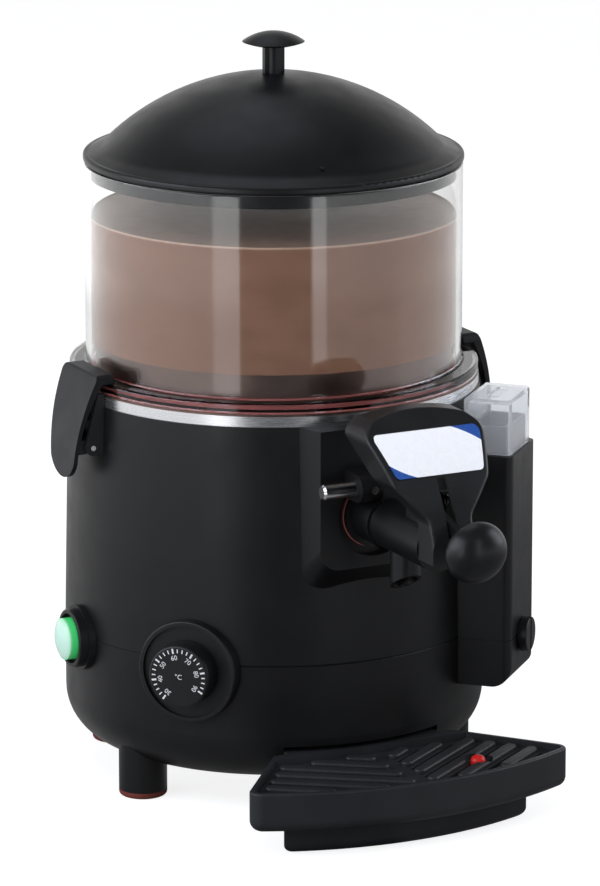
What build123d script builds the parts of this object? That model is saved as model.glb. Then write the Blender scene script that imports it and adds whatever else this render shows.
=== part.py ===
from build123d import *
import os
from math import asin, atan2, copysign, cos, degrees, hypot, pi, radians, sin, sqrt

os.makedirs("parts", exist_ok=True)

# Table-top hot chocolate dispenser, in millimetres. Heights are above the table. Radii and forward
# distances are from the upright axis of the body, and azimuths are 0 at the front, growing to the right.

# Fits
SEAT_GAP = 0.1
SHAFT_GAP = 0.05
SLIDE_GAP = 0.15
LOOSE_GAP = 0.4

# Housing
BODY_R = 129.5
BODY_TAPER = 3.0
BODY_TOP_R = BODY_R - BODY_TAPER
BODY_TOP_Z = 243.5
BODY_BOTTOM_Z = 21.0
BODY_CORNER = 30.0
BODY_WALL = 3.0
SEAM_Z = 96.5
SEAM_BEVEL = 0.6
LIP_HEIGHT = 5.0
LIP_WALL = 2.0
FLOOR_RING = 53.5
FLOOR_OPENING_R = BODY_R - FLOOR_RING

# Feet
FOOT_R = 14.8
FOOT_INSET = 20.5
FOOT_PLACE_R = BODY_R - FOOT_INSET
FOOT_AZIMUTHS = (74.0, 140.0, -140.0, -74.0)
FOOT_TOP_Z = 48.0
PAD_HEIGHT = 4.0
PAD_EDGE = 2.5
FOOT_SCREW_R = 1.8
FOOT_SCREW_HEAD_R = 3.4
FOOT_SCREW_HEAD = 2.0
FOOT_SCREW_RECESS = 2.4
FOOT_SCREW_LENGTH = 15.0

# Base plate
PLATE_LAP = 16.0
PLATE_R = FLOOR_OPENING_R + PLATE_LAP
PLATE_THICK = 1.5
PLATE_SCREW_PLACE_R = FLOOR_OPENING_R + PLATE_LAP / 2
PLATE_SCREW_AZIMUTHS = (60.0, 120.0, -120.0, -60.0)
PLATE_SCREW_R = 1.6
PLATE_SCREW_HEAD_R = 3.2
PLATE_SCREW_HEAD = 1.8
PLATE_SCREW_LENGTH = 6.0

# Cable inlet
INLET_AZIMUTH = 180.0
INLET_Z = 62.0
INLET_R = 11.0
INLET_REACH = 4.5
INLET_NECK_R = 8.0
INLET_NECK = 9.0
INLET_BORE_R = 4.2

# Steel rim, pan, water jacket
STEEL = 1.2
RIM_INSET = 0.7
RIM_R = BODY_TOP_R - RIM_INSET
RIM_WIDTH = 6.3
RIM_INNER_R = RIM_R - RIM_WIDTH
RIM_HEIGHT = 6.4
JACKET_BODY_GAP = 0.7
JACKET_FLANGE_R = BODY_TOP_R - BODY_WALL - JACKET_BODY_GAP
JACKET_FLANGE = 4.8
JACKET_R = JACKET_FLANGE_R - JACKET_FLANGE
JACKET_SPACE = 8.8
PAN_R = JACKET_R - JACKET_SPACE
PAN_FLANGE_INSET = 0.4
PAN_FLANGE_R = RIM_R - PAN_FLANGE_INSET
PAN_DEPTH = 71.5
PAN_BOTTOM_Z = BODY_TOP_Z - PAN_DEPTH
PAN_CORNER = 18.0
PAN_COLLAR = 28.5
PAN_COLLAR_Z = BODY_TOP_Z + PAN_COLLAR
PAN_HEM = 0.9
PAN_HEM_HEIGHT = 3.0
JACKET_DEPTH = 22.0
JACKET_BOTTOM_Z = PAN_BOTTOM_Z - JACKET_DEPTH

# Heating element under the pan
ELEMENT_INSET = 29.2
ELEMENT_RING_R = PAN_R - ELEMENT_INSET
ELEMENT_TUBE_R = 4.0
ELEMENT_LIFT = 11.0
ELEMENT_Z = JACKET_BOTTOM_Z + ELEMENT_LIFT
ELEMENT_START = 90.0
ELEMENT_ARC = 300.0
ELEMENT_COLLAR_R = 7.0
ELEMENT_COLLAR = 2.8
ELEMENT_LEG_TAIL = 12.0
ELEMENT_LEG_END_Z = JACKET_BOTTOM_Z - ELEMENT_LEG_TAIL

# Stirring drive
MOTOR_PLATE_R = 54.0
MOTOR_PLATE = 2.5
MOTOR_POST_R = 5.0
MOTOR_POST_PLACE_R = 46.0
MOTOR_POST = 6.5
MOTOR_AZIMUTHS = (0.0, 120.0, 240.0)
GEARBOX_R = 34.0
GEARBOX_HEIGHT = 38.0
MOTOR_R = 29.0
MOTOR_HEIGHT = 40.0
MOTOR_BOSS_R = 9.0
MOTOR_BOSS = 5.0
MOTOR_BOSS_BORE = 18.0
SHAFT_R = 5.0
SHAFT_RISE = 39.0
SHAFT_TOP_Z = PAN_BOTTOM_Z + SHAFT_RISE
TUBE_R = 9.0
TUBE_WALL = 2.2
TUBE_RISE = 18.0
TUBE_TOP_Z = PAN_BOTTOM_Z + TUBE_RISE
TUBE_TAIL = 3.0
SEAL_HEIGHT = 4.0
AGITATOR_SIDE_GAP = 15.2
AGITATOR_R = PAN_R - AGITATOR_SIDE_GAP
AGITATOR_HUB_R = 12.0
AGITATOR_HUB_GAP = 0.5
AGITATOR_CAP = 3.0
AGITATOR_BLADE = 4.0
AGITATOR_BLADE_RISE = 28.0
AGITATOR_BLADE_TOP_Z = PAN_BOTTOM_Z + AGITATOR_BLADE_RISE
AGITATOR_FLOOR_GAP = 3.0
AGITATOR_TUBE_GAP = 4.0
AGITATOR_FIN_PLACE_R = 58.0
AGITATOR_FIN = 32.0
AGITATOR_HOLE_R = 6.0
AGITATOR_HOLE_PLACE_R = 36.0

# Bowl and its gasket
BOWL_WALL = 3.5
BOWL_PAN_GAP = 2.8
BOWL_R = PAN_R + BOWL_PAN_GAP + BOWL_WALL
BOWL_RISE = 138.0
BOWL_TOP_Z = BODY_TOP_Z + BOWL_RISE
BOWL_RIM_EDGE = 1.2
BOWL_FLANGE_INSET = 0.3
BOWL_FLANGE_R = RIM_R - BOWL_FLANGE_INSET
BOWL_FLANGE_RISE = 14.2
BOWL_FLANGE_TOP_Z = BODY_TOP_Z + BOWL_FLANGE_RISE
BOWL_FLANGE_EDGE = 1.5
BOWL_LIP_WALL = 2.9
BOWL_LIP_LIFT = 0.4
GASKET_THICK = 1.0
GASKET_LIP = 5.0
GASKET_SIDE_GAP = 0.4

# Lid and its knob
LID_OVERHANG = 0.7
LID_R = BOWL_R + LID_OVERHANG
LID_WALL = 3.0
LID_RIM = 4.9
LID_RIM_EDGE = 1.8
LID_SPIGOT_GAP = 0.6
LID_SPIGOT_WALL = 2.7
LID_SPIGOT = 8.5
LID_LEDGE = 3.2
LID_FLARE_R = LID_R - LID_LEDGE
LID_FLARE = 8.0
LID_DOME_FOOT_R = LID_FLARE_R - LID_FLARE
LID_FLARE_RISE = 3.85
LID_FLARE_ROUND = 12.0
LID_DOME_RISE = 43.95
KNOB_R = 19.0
KNOB_RISE = 25.7
KNOB_CROWN = 6.2
KNOB_UNDER = 3.6
KNOB_STEM_R = 6.7
KNOB_RIB = 3.4
KNOB_CORE_R = 4.2
KNOB_SCREW_R = 2.0
KNOB_SCREW_HEAD_R = 4.0
KNOB_SCREW_HEAD = 2.4
KNOB_SCREW_LENGTH = 15.0
VENT_R = 1.5
VENT_AZIMUTH = -10.0
VENT_INSET = 4.0
VENT_PLACE_R = LID_DOME_FOOT_R - VENT_INSET

# Side latches
LATCH_STAND = 16.9
LATCH_REACH = BODY_TOP_R + LATCH_STAND
LATCH_DROP = 45.5
LATCH_TIP_Z = BODY_TOP_Z - LATCH_DROP
LATCH_HOOK = 5.8
LATCH_TOP_Z = BOWL_FLANGE_TOP_Z + LATCH_HOOK
LATCH_TOP_STAND = 3.5
LATCH_TOP_R = BODY_TOP_R + LATCH_TOP_STAND
LATCH_MID = 40.0
LATCH_MID_Z = LATCH_TIP_Z + LATCH_MID
LATCH_BULGE = 3.78
LATCH_THICK = 3.2
LATCH_HOOK_GAP = 4.0
LATCH_HOOK_R = BOWL_R + LATCH_HOOK_GAP
LATCH_ROOT_GAP = 1.5
LATCH_HOOK_ROOT_R = BOWL_FLANGE_R + LATCH_ROOT_GAP
LATCH_BOWL_GAP = 0.35
LATCH_TOP_HALF = 24.5
LATCH_TOP_CORNER = 4.0
LATCH_TOP_EDGE = 2.0
LATCH_MID_HALF = 21.0
LATCH_LOW_HALF = 16.5
LATCH_TIP_RISE = 11.0
LATCH_LOW_Z = LATCH_TIP_Z + LATCH_TIP_RISE
LATCH_PIVOT_STAND = 5.7
LATCH_PIVOT_R = BODY_TOP_R + LATCH_PIVOT_STAND
LATCH_PIVOT_DROP = 24.5
LATCH_PIVOT_Z = BODY_TOP_Z - LATCH_PIVOT_DROP
LATCH_LUG_R = 4.2
LATCH_LUG_HALF = 17.5
LATCH_PIN_R = 1.6
LATCH_PIN_PROUD = 0.6
EAR_WALL = 3.0
EAR_SIDE_GAP = 0.4
EAR_END_R = 4.8
EAR_RISE = 8.5
EAR_TOP_Z = BODY_TOP_Z + EAR_RISE
EAR_STAND = 2.3
EAR_TOP_R = BODY_TOP_R + EAR_STAND
BRACKET_RIM_GAP = 0.3
BRACKET_DROP = 15.5
BRACKET_WEB_LOW_Z = BODY_TOP_Z - BRACKET_DROP
BRACKET_STAND = 3.3
BRACKET_WEB_R = BODY_TOP_R + BRACKET_STAND
BRACKET_SCREW_R = 1.5
BRACKET_SCREW_HEAD_R = 2.8
BRACKET_SCREW_HEAD = 1.2
BRACKET_SCREW_LENGTH = 7.0
BRACKET_SCREW_SPREAD = 14.0

# Dial and thermostat
DIAL_AZIMUTH = -49.5
DIAL_DROP = 4.5
DIAL_Z = SEAM_Z - DIAL_DROP
COLLAR_R = 31.5
COLLAR_RISE = 5.5
COLLAR_EDGE = 1.2
COLLAR_WALL = 3.0
COLLAR_NECK_R = 23.5
COLLAR_NECK = 9.0
COLLAR_NECK_WALL = 3.0
COLLAR_FLOOR_RISE = 3.0
COLLAR_FLOOR = 5.0
DIAL_R = 19.5
DIAL_GAP = 0.6
DIAL_HEIGHT = 14.0
DIAL_EDGE = 1.6
DIAL_SHAFT_R = 3.0
DIAL_SHAFT_BACK_GAP = 0.3
THERMOSTAT_SIZE = 26.0
THERMOSTAT_DEPTH = 22.0

# Power switch
SWITCH_AZIMUTH = -92.0
SWITCH_DROP = 2.5
SWITCH_Z = SEAM_Z - SWITCH_DROP
BEZEL_R = 20.0
BEZEL_RISE = 3.0
BEZEL_RING_R = 18.0
BEZEL_RING_RISE = 8.5
BEZEL_EDGE = 1.0
BEZEL_WELL_R = 15.4
BEZEL_WELL = 3.5
BEZEL_NECK_R = 15.6
BEZEL_NECK = 14.0
BUTTON_R = 12.8
BUTTON_RISE = 12.5
BUTTON_DOME = 3.5
BUTTON_DEPTH = 6.0
SWITCH_BODY_SIZE = 24.0
SWITCH_BODY_DEPTH = 22.0

# Tap boss on the front of the housing, and the outlet behind it
TAP_RISE = 16.7
TAP_Z = PAN_BOTTOM_Z + TAP_RISE
BOSS_STAND = 6.5
BOSS_FACE = BODY_R + BOSS_STAND
BOSS_HALF = 37.0
BOSS_DROP = 31.2
BOSS_FOOT_Z = TAP_Z - BOSS_DROP
BOSS_CORNER = 13.0
BOSS_DEPTH = 26.0
BOSS_SIDE_DRAFT = 0.33
BOSS_FOOT_DRAFT = 1.3
SOCKET_R = 25.0
SOCKET_DEPTH = 6.0
OUTLET_R = 13.8
OUTLET_WALL = 2.7
OUTLET_SHORT = 0.5
OUTLET_HOLE_GAP = 0.5

# Tap barrel
BARREL_R = 15.2
BARREL_LENGTH = 81.0
BARREL_END = BOSS_FACE + BARREL_LENGTH
BARREL_COLLAR_R = 16.6
BARREL_COLLAR_OUT = 18.0
BARREL_COLLAR_AT = BOSS_FACE + BARREL_COLLAR_OUT
BARREL_COLLAR = 3.0
BARREL_NECK_R = 15.8
BARREL_FLANGE_R = 19.4
BARREL_FLANGE = 3.5
GASKET_RING_R = 19.9
GASKET_RING = 2.0
SPIGOT_TUCK = 2.2
SPIGOT_BACK = PAN_R - SPIGOT_TUCK
SPIGOT_GAP = 0.4
SPIGOT_BORE_R = 7.6
SPIGOT_RING_FIRST = 5.0
SPIGOT_RING_PITCH = 8.0
SPIGOT_RINGS = (SPIGOT_BACK + SPIGOT_RING_FIRST, SPIGOT_BACK + SPIGOT_RING_FIRST + SPIGOT_RING_PITCH)
PISTON_BORE_R = 10.5
PISTON_BORE = 65.0
PISTON_BORE_BACK = BARREL_END - PISTON_BORE
RING_R = 0.75
RING_GAP = 0.05
RING_GROOVE_HALF = 1.0

# Spout under the barrel
SPOUT_SETBACK = 42.5
SPOUT_FORWARD = BARREL_END - SPOUT_SETBACK
SPOUT_R = 9.2
SPOUT_WALL = 2.0
SPOUT_DROP = 37.7
SPOUT_BACK_Z = TAP_Z - SPOUT_DROP
SPOUT_SLANT = 12.0
SPOUT_FRONT_Z = SPOUT_BACK_Z + SPOUT_SLANT
SPOUT_DIVIDER = 1.6

# Retaining pin above the barrel
PIN_OUT = 15.0
PIN_FORWARD = BOSS_FACE + PIN_OUT
PIN_RISE = 22.3
PIN_Z = TAP_Z + PIN_RISE
PIN_R = 4.75
PIN_LEFT = 44.0
PIN_RIGHT = 24.0
PIN_END = 1.2
SLEEVE_R = 8.6
SLEEVE_END = 21.0
SLEEVE_BARREL_GAP = 0.6
TONGUE_R = 7.8
TONGUE_HALF = 7.0
TONGUE_GAP = 0.5
LOCK_SCREW_SIDE = 13.0
LOCK_SCREW_R = 1.5
LOCK_SCREW_HEAD_R = 2.4
LOCK_SCREW_HEAD = 1.2

# Tap lever, its knob, spring and piston
PIVOT_BACK = 17.0
PIVOT_FORWARD = BARREL_END - PIVOT_BACK
PIVOT_RISE = 23.3
PIVOT_Z = TAP_Z + PIVOT_RISE
LEVER_HALF = 2.3
LEVER_DEPTH = 6.4
LEVER_HUB_R = 6.0
LEVER_HUB_HALF = 3.9
LEVER_SHANK = 3.4
LEVER_TIP_R = 3.4
LEVER_TENON_R = 2.2
LEVER_TENON = 9.0
LEVER_PIN_R = 2.5
LEVER_PIN_HEAD_R = 4.2
LEVER_PIN_HEAD = 1.6
LEVER_PIN_LEFT = 9.4
LEVER_PIN_RIGHT = 16.2
LUG_R = 6.0
LUG_HALF = 8.1
LUG_GAP = 0.2
LUG_FOOT = 20.0
LUG_SLOT_BACK = 7.5
BALL_OUT = 61.0
BALL_FORWARD = PIVOT_FORWARD + BALL_OUT
BALL_DROP = 16.0
BALL_Z = PIVOT_Z - BALL_DROP
BALL_R = 19.0
BALL_FRONT = 15.0
BALL_BACK = 10.5
BALL_FLAT_R = 9.0
PISTON_SETBACK = 40.0
PISTON_BACK = PIVOT_FORWARD - PISTON_SETBACK
PISTON_HEAD = 31.0
PISTON_ROD_R = 6.5
PISTON_ROD = 19.0
PISTON_SLOT_GAP = 0.6
PISTON_RING_INSET = 3.5
SPRING_WIRE_R = 0.6
SPRING_COIL_R = 4.9
SPRING_PITCH = 1.9
SPRING_TURNS = 3
SPRING_LEG = 6.0
SPRING_SIDE_GAP = 0.5

# Shield around the lever
SHIELD_WALL = 2.6
SHIELD_OUT = 18.5
SHIELD_FRONT = BARREL_END + SHIELD_OUT
SHIELD_FACE_R = 135.0
SHIELD_FOOT_OUT = 22.2
SHIELD_CROWN_BACK = 33.05
SHIELD_FOOT_DROP = 5.7
SHIELD_FOOT_Z = TAP_Z - SHIELD_FOOT_DROP
SHIELD_TOP_BACK = 40.0
SHIELD_TOP_FORWARD = BARREL_END - SHIELD_TOP_BACK
SHIELD_DEPTH = 47.0
SHIELD_BACK = BARREL_END - SHIELD_DEPTH
SHIELD_BACK_RISE = 71.3
SHIELD_BACK_TOP_Z = TAP_Z + SHIELD_BACK_RISE
SHIELD_BACK_HEIGHT = 9.0
SHIELD_BACK_LOW_Z = SHIELD_BACK_TOP_Z - SHIELD_BACK_HEIGHT
SHIELD_STEM_TOP_RISE = 14.8
SHIELD_STEM_TOP_Z = TAP_Z + SHIELD_STEM_TOP_RISE
SHIELD_CROWN_RISE = 76.3
SHIELD_CROWN_Z = TAP_Z + SHIELD_CROWN_RISE
SHIELD_CROWN_HALF = 31.0
SHIELD_CROWN_FALL = 4.0
SHIELD_CROWN_SIDE_Z = SHIELD_CROWN_Z - SHIELD_CROWN_FALL
SHIELD_TOP_HALF = 39.5
SHIELD_TOP_RISE = 65.3
SHIELD_TOP_Z = TAP_Z + SHIELD_TOP_RISE
SHIELD_WAIST_HALF = 31.5
SHIELD_WAIST_RISE = 39.3
SHIELD_WAIST_Z = TAP_Z + SHIELD_WAIST_RISE
SHIELD_STEM_HALF = 14.2
SHIELD_STEM_RISE = 19.8
SHIELD_STEM_Z = TAP_Z + SHIELD_STEM_RISE
SHIELD_ROUND = 8.0
SHIELD_EDGE = 2.0
SHIELD_BORE_DEPTH = 9.0
SLOT_HALF = 3.3
SLOT_RISE = 8.3
SLOT_LOW_Z = TAP_Z + SLOT_RISE
SLOT_HEIGHT = 34.0
SLOT_TOP_Z = SLOT_LOW_Z + SLOT_HEIGHT
SHIELD_SCREW_SIDE = 9.0
SHIELD_SCREW_UP = 9.0
SHIELD_SCREW_R = 1.0
SHIELD_SCREW_HEAD_R = 1.9
SHIELD_SCREW_HEAD = 1.2
SHIELD_SCREW_LENGTH = 8.0
LABEL_THICK = 0.7
LABEL_RISE = 43.8
LABEL_LOW_Z = TAP_Z + LABEL_RISE
LABEL_HEIGHT = 22.5
LABEL_TOP_Z = LABEL_LOW_Z + LABEL_HEIGHT
LABEL_TOP_HALF = 35.5
LABEL_LOW_HALF = 28.5
LABEL_CORNER = 3.0

# Water column
COLUMN_AZIMUTH = 45.0
COLUMN_DEPTH = 30.5
COLUMN_REACH = BODY_R + COLUMN_DEPTH
COLUMN_HALF = 26.0
COLUMN_DROP = 29.5
COLUMN_BOTTOM_Z = SEAM_Z - COLUMN_DROP
COLUMN_TOP_DROP = 31.5
COLUMN_TOP_Z = BODY_TOP_Z - COLUMN_TOP_DROP
COLUMN_FLOOR = 12.0
COLUMN_WALL = 2.5
COLUMN_EDGE = 5.0
COLUMN_FOOT_EDGE = 12.0
COLUMN_TUCK = 17.5
COLUMN_INNER_R = BODY_R - COLUMN_TUCK
COLUMN_GROOVE = 0.6
TANK_SIDE = 6.2
TANK_HALF = COLUMN_HALF - TANK_SIDE
TANK_BODY_GAP = 2.0
TANK_INNER_R = BODY_R + TANK_BODY_GAP
TANK_FRONT = 5.0
TANK_REACH = COLUMN_REACH - TANK_FRONT
TANK_RISE = 17.0
TANK_TOP_Z = COLUMN_TOP_Z + TANK_RISE
TANK_WALL = 2.0
TANK_EDGE = 3.5
COVER_SIDE = 3.4
COVER_HALF = COLUMN_HALF - COVER_SIDE
COVER_TUCK = 0.7
COVER_INNER_R = BODY_R - COVER_TUCK
COVER_FRONT = 2.0
COVER_REACH = COLUMN_REACH - COVER_FRONT
COVER_RISE = 34.0
COVER_TOP_Z = COLUMN_TOP_Z + COVER_RISE
COVER_WALL = 2.2
COVER_TOP_WALL = 3.0
COVER_EDGE = 4.0
COVER_TOP_EDGE = 1.5
COVER_SLOT_LENGTH = 26.0
COVER_SLOT_WIDTH = 7.0
COVER_SLOT_DEPTH = 1.2
PIPE_LIFT = 10.0
PIPE_Z = JACKET_BOTTOM_Z + PIPE_LIFT
PIPE_R = 5.0
PIPE_WALL = 1.4
PIPE_TUCK = 2.0
PLUG_LIFT = 28.0
PLUG_Z = COLUMN_BOTTOM_Z + PLUG_LIFT
PLUG_R = 10.8
PLUG_HEAD = 4.7
PLUG_EDGE = 1.0
PLUG_STEM_R = 6.0
PLUG_SLOT = 2.4
PLUG_SLOT_DEPTH = 2.0
PLUG_SEAL = 1.2
PLUG_SEAL_R = 9.0

# Drip tray
TRAY_OUT = 81.5
TRAY_FRONT = BODY_R + TRAY_OUT
TRAY_FRONT_R = 233.6
TRAY_HALF = 110.0
TRAY_CORNER = 8.0
TRAY_WAIST_HALF = 61.0
TRAY_WAIST_TUCK = 8.5
TRAY_WAIST = BODY_R - TRAY_WAIST_TUCK
TRAY_TONGUE_HALF = 52.0
TRAY_TUCK = 37.5
TRAY_TONGUE_BACK = BODY_R - TRAY_TUCK
TRAY_WELL_TUCK = 1.5
TRAY_WELL_BACK = BODY_R - TRAY_WELL_TUCK
TRAY_TOP_Z = 43.0
TRAY_HEIGHT = 24.5
TRAY_BOTTOM_Z = TRAY_TOP_Z - TRAY_HEIGHT
TRAY_RIM = 3.0
TRAY_LEDGE = 3.0
TRAY_FLOOR = 3.0
TRAY_EDGE = 1.2
TRAY_FOOT_EDGE = 6.5
TRAY_BASE_INSET = 18.0
TRAY_BASE_WALL = 7.0
TRAY_BASE_EDGE = 6.0
BAY_GAP = 0.3
BAY_TOP_GAP = 3.0
GRILLE_DROP = 7.0
GRILLE_Z = TRAY_TOP_Z - GRILLE_DROP
GRILLE_THICK = 2.5
GRILLE_GAP = 0.4
RIB_RISE = 3.2
RIB_EDGE = 1.6
RIB_WIDTH = 7.4
RIB_CORE = 0.4
RIB_PITCH = 17.0
RIB_COUNT = 9
RIB_FIRST = TRAY_WELL_BACK
RIB_ANGLE = 36.0
RIB_SPLIT = 16.0
RIB_MARGIN = 7.0
RIB_LENGTH = 150.0
DRAIN_WIDTH = 3.0
FLOAT_SIDE = 48.6
FLOAT_INSET = 34.2
FLOAT_FORWARD = TRAY_FRONT - FLOAT_INSET
FLOAT_R = 4.6
FLOAT_RISE = 1.6
FLOAT_ROUND = 3.4
FLOAT_NOTCH_R = 9.0
FLOAT_DISC_R = 8.0
FLOAT_DISC = 3.0
FLOAT_FLOOR_GAP = 0.3

# Where the body axis stands, so that the whole object is centred on the origin
lever_tilt = atan2(PIVOT_Z - BALL_Z, BALL_FORWARD - PIVOT_FORWARD)
left_reach = (BODY_R + BUTTON_RISE + BUTTON_DOME) * abs(sin(radians(SWITCH_AZIMUTH)))
front_reach = BALL_FORWARD + hypot(BALL_FRONT * cos(lever_tilt), BALL_R * sin(lever_tilt))
AXIS_X = (left_reach - LATCH_REACH) / 2
AXIS_Y = (front_reach - BODY_R - INLET_REACH) / 2
BODY_AXIS = Axis((AXIS_X, AXIS_Y, 0), (0, 0, 1))
TAP_AXIS = Axis((AXIS_X, AXIS_Y, TAP_Z), (0, -1, 0))


def front(forward, height=0.0, right=0.0):
    """Upright plane facing forward: local x to the right, local y up."""
    return Plane(origin=(AXIS_X + right, AXIS_Y - forward, height), x_dir=(1, 0, 0), z_dir=(0, -1, 0))


def left(reach=0.0, forward=0.0, height=0.0):
    """Upright plane facing left: local x forward, local y up."""
    return Plane(origin=(AXIS_X - reach, AXIS_Y - forward, height), x_dir=(0, -1, 0), z_dir=(-1, 0, 0))


def spot(azimuth, radius, height, along=0.0):
    """Point at an azimuth and a radius, moved sideways along the surface."""
    angle = radians(azimuth)
    return (AXIS_X + radius * sin(angle) + along * cos(angle),
            AXIS_Y - radius * cos(angle) + along * sin(angle), height)


def facing(azimuth, radius, height, along=0.0):
    """Upright plane facing outward at an azimuth: local x along the surface, local y up."""
    angle = radians(azimuth)
    return Plane(origin=spot(azimuth, radius, height, along), x_dir=(cos(angle), sin(angle), 0),
                 z_dir=(sin(angle), -cos(angle), 0))


def radial(azimuth):
    """Upright plane through the body axis: local x outward, local y up."""
    angle = radians(azimuth)
    return Plane(origin=(AXIS_X, AXIS_Y, 0), x_dir=(sin(angle), -cos(angle), 0),
                 z_dir=(-cos(angle), -sin(angle), 0))


def level(height, azimuth=0.0, radius=0.0):
    """Level plane facing up: local x along the surface, local y inward."""
    angle = radians(azimuth)
    return Plane(origin=spot(azimuth, radius, height), x_dir=(cos(angle), sin(angle), 0), z_dir=(0, 0, 1))


def under(height, azimuth=0.0, radius=0.0):
    """Level plane facing down."""
    return Plane(origin=spot(azimuth, radius, height), x_dir=(1, 0, 0), z_dir=(0, 0, -1))


def disc(plane, radius):
    with BuildSketch(plane) as face:
        Circle(radius)
    return face.sketch


def bar(plane, radius, length):
    """Round bar from a plane along its normal."""
    extrude(disc(plane, radius), amount=length)


def bore(plane, radius, depth):
    """Round hole from a plane along its normal."""
    extrude(disc(plane, radius), amount=depth, mode=Mode.SUBTRACT)


def screw(plane, head_radius, head_height, shank_radius, length):
    """Screw seated on a plane, its head on the outer side."""
    bar(plane, head_radius, head_height)
    bar(plane, shank_radius, -length)


def outline(plane, *points):
    """Face with straight sides on a plane."""
    with BuildSketch(plane) as face:
        with BuildLine():
            Polyline(*points, close=True)
        make_face()
    return face.sketch


def turned(*points):
    """Half section of a piece turned about the body axis, from (radius, height) pairs."""
    return outline(radial(90), *points)


def ring_section(inner, outer, low, high):
    return turned((inner, low), (outer, low), (outer, high), (inner, high))


def dish_section(radius, low, high, corner):
    """Half section of a filled dish with a rounded lower corner."""
    with BuildSketch(radial(90)) as face:
        with BuildLine():
            Polyline((0, low), (radius, low), (radius, high), (0, high), close=True)
        make_face()
        fillet(face.vertices().group_by(Axis.X)[-1].sort_by(Axis.Y)[0], corner)
    return face.sketch


def tap_section(*points):
    """Half section of a piece turned about the tap axis, from (forward, radius) pairs."""
    return outline(left(), *[(forward, TAP_Z + radius) for forward, radius in points])


def tap_ring(forward, radius):
    """Round section of a seal ring around the tap axis."""
    with BuildSketch(left()) as face:
        with Locations((forward, TAP_Z + radius)):
            Circle(RING_R)
    return face.sketch


def cap_middle(radius, edge, apex):
    """Height of a spherical cap half way out from its apex to its edge."""
    rise = apex - edge
    ball = (radius**2 + rise**2) / (2 * rise)
    return apex - ball + copysign(sqrt(ball**2 - radius**2 / 4), ball)


def finish(piece, name):
    piece.part.label = name
    export_step(piece.part, "parts/" + name + ".step")


def body_section(inset):
    """Half section of the filled lower housing, moved inward by an inset."""
    return dish_section(BODY_R - inset, BODY_BOTTOM_Z + inset, SEAM_Z, BODY_CORNER - inset)


def upper_section(inset):
    """Half section of the filled upper housing, moved inward by an inset."""
    return turned((0, SEAM_Z), (BODY_R - inset, SEAM_Z), (BODY_TOP_R - inset, BODY_TOP_Z), (0, BODY_TOP_Z))


# Filled outer shape of the housing with the seating gap, for pieces that sit on its curve
with BuildPart() as seat_shape:
    revolve(body_section(-SEAT_GAP), axis=BODY_AXIS)
    revolve(upper_section(-SEAT_GAP), axis=BODY_AXIS)


# Upper housing with the tap boss
socket_floor = BOSS_FACE - SOCKET_DEPTH
bracket_screw_z = (BRACKET_WEB_LOW_Z + BODY_TOP_Z) / 2
bracket_screw_places = [(azimuth, half * BRACKET_SCREW_SPREAD / 2)
                        for azimuth in (-90, 90) for half in (-1, 1)]


def boss_outline(back):
    """Outline of the tap boss some way behind its face, where its sides have spread."""
    half = BOSS_HALF + back * BOSS_SIDE_DRAFT
    foot = BOSS_FOOT_Z - back * BOSS_FOOT_DRAFT
    with BuildSketch(front(BOSS_FACE - back)) as face:
        with BuildLine():
            Polyline((-half, BODY_TOP_Z), (-half, foot), (half, foot), (half, BODY_TOP_Z), close=True)
        make_face()
        fillet(face.vertices().group_by(Axis.Y)[0], BOSS_CORNER + back * BOSS_SIDE_DRAFT)
    return face.sketch


with BuildPart() as upper_housing:
    loft([boss_outline(0), boss_outline(BOSS_DEPTH)])
    revolve(upper_section(0), axis=BODY_AXIS)
    # Two sleeves that carry the retaining pin over the barrel
    with BuildSketch(left(-SLEEVE_END, 0, PIN_Z)):
        with Locations((PIN_FORWARD, 0)):
            Circle(SLEEVE_R)
            Rectangle(PIN_FORWARD - socket_floor, 2 * SLEEVE_R, align=(Align.MAX, Align.CENTER))
    extrude(amount=2 * SLEEVE_END)
    with BuildSketch(left(-TONGUE_HALF - TONGUE_GAP, BOSS_FACE, PIN_Z)):
        Rectangle(4 * SLEEVE_R, 4 * SLEEVE_R, align=(Align.MIN, Align.CENTER))
    extrude(amount=2 * (TONGUE_HALF + TONGUE_GAP), mode=Mode.SUBTRACT)
    bore(front(BOSS_FACE, TAP_Z), BARREL_COLLAR_R + SLEEVE_BARREL_GAP, 3 * SLEEVE_R)
    bore(left(-SLEEVE_END, PIN_FORWARD, PIN_Z), PIN_R + SHAFT_GAP, 2 * SLEEVE_END)
    bore(front(PIN_FORWARD, PIN_Z, -LOCK_SCREW_SIDE), LOCK_SCREW_R + SEAT_GAP, 2 * SLEEVE_R)
    bore(front(socket_floor, TAP_Z), SOCKET_R, SOCKET_DEPTH)
    bore(front(0, TAP_Z), OUTLET_R + OUTLET_HOLE_GAP, BOSS_FACE)
    revolve(upper_section(BODY_WALL), axis=BODY_AXIS, mode=Mode.SUBTRACT)
    revolve(turned((BODY_R - SEAM_BEVEL, SEAM_Z), (BODY_R, SEAM_Z), (BODY_R, SEAM_Z + SEAM_BEVEL)),
            axis=BODY_AXIS, mode=Mode.SUBTRACT)
    bore(facing(DIAL_AZIMUTH, 0, DIAL_Z), COLLAR_NECK_R + SEAT_GAP, 2 * BODY_R)
    bore(facing(SWITCH_AZIMUTH, 0, SWITCH_Z), BEZEL_NECK_R + SEAT_GAP, 2 * BODY_R)
    bore(facing(COLUMN_AZIMUTH, 0, PIPE_Z), PIPE_R + SEAT_GAP, 2 * BODY_R)
    for azimuth, along in bracket_screw_places:
        bore(facing(azimuth, 0, bracket_screw_z, along), BRACKET_SCREW_R + SEAT_GAP, 2 * BODY_R)
finish(upper_housing, "upper_housing")


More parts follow.
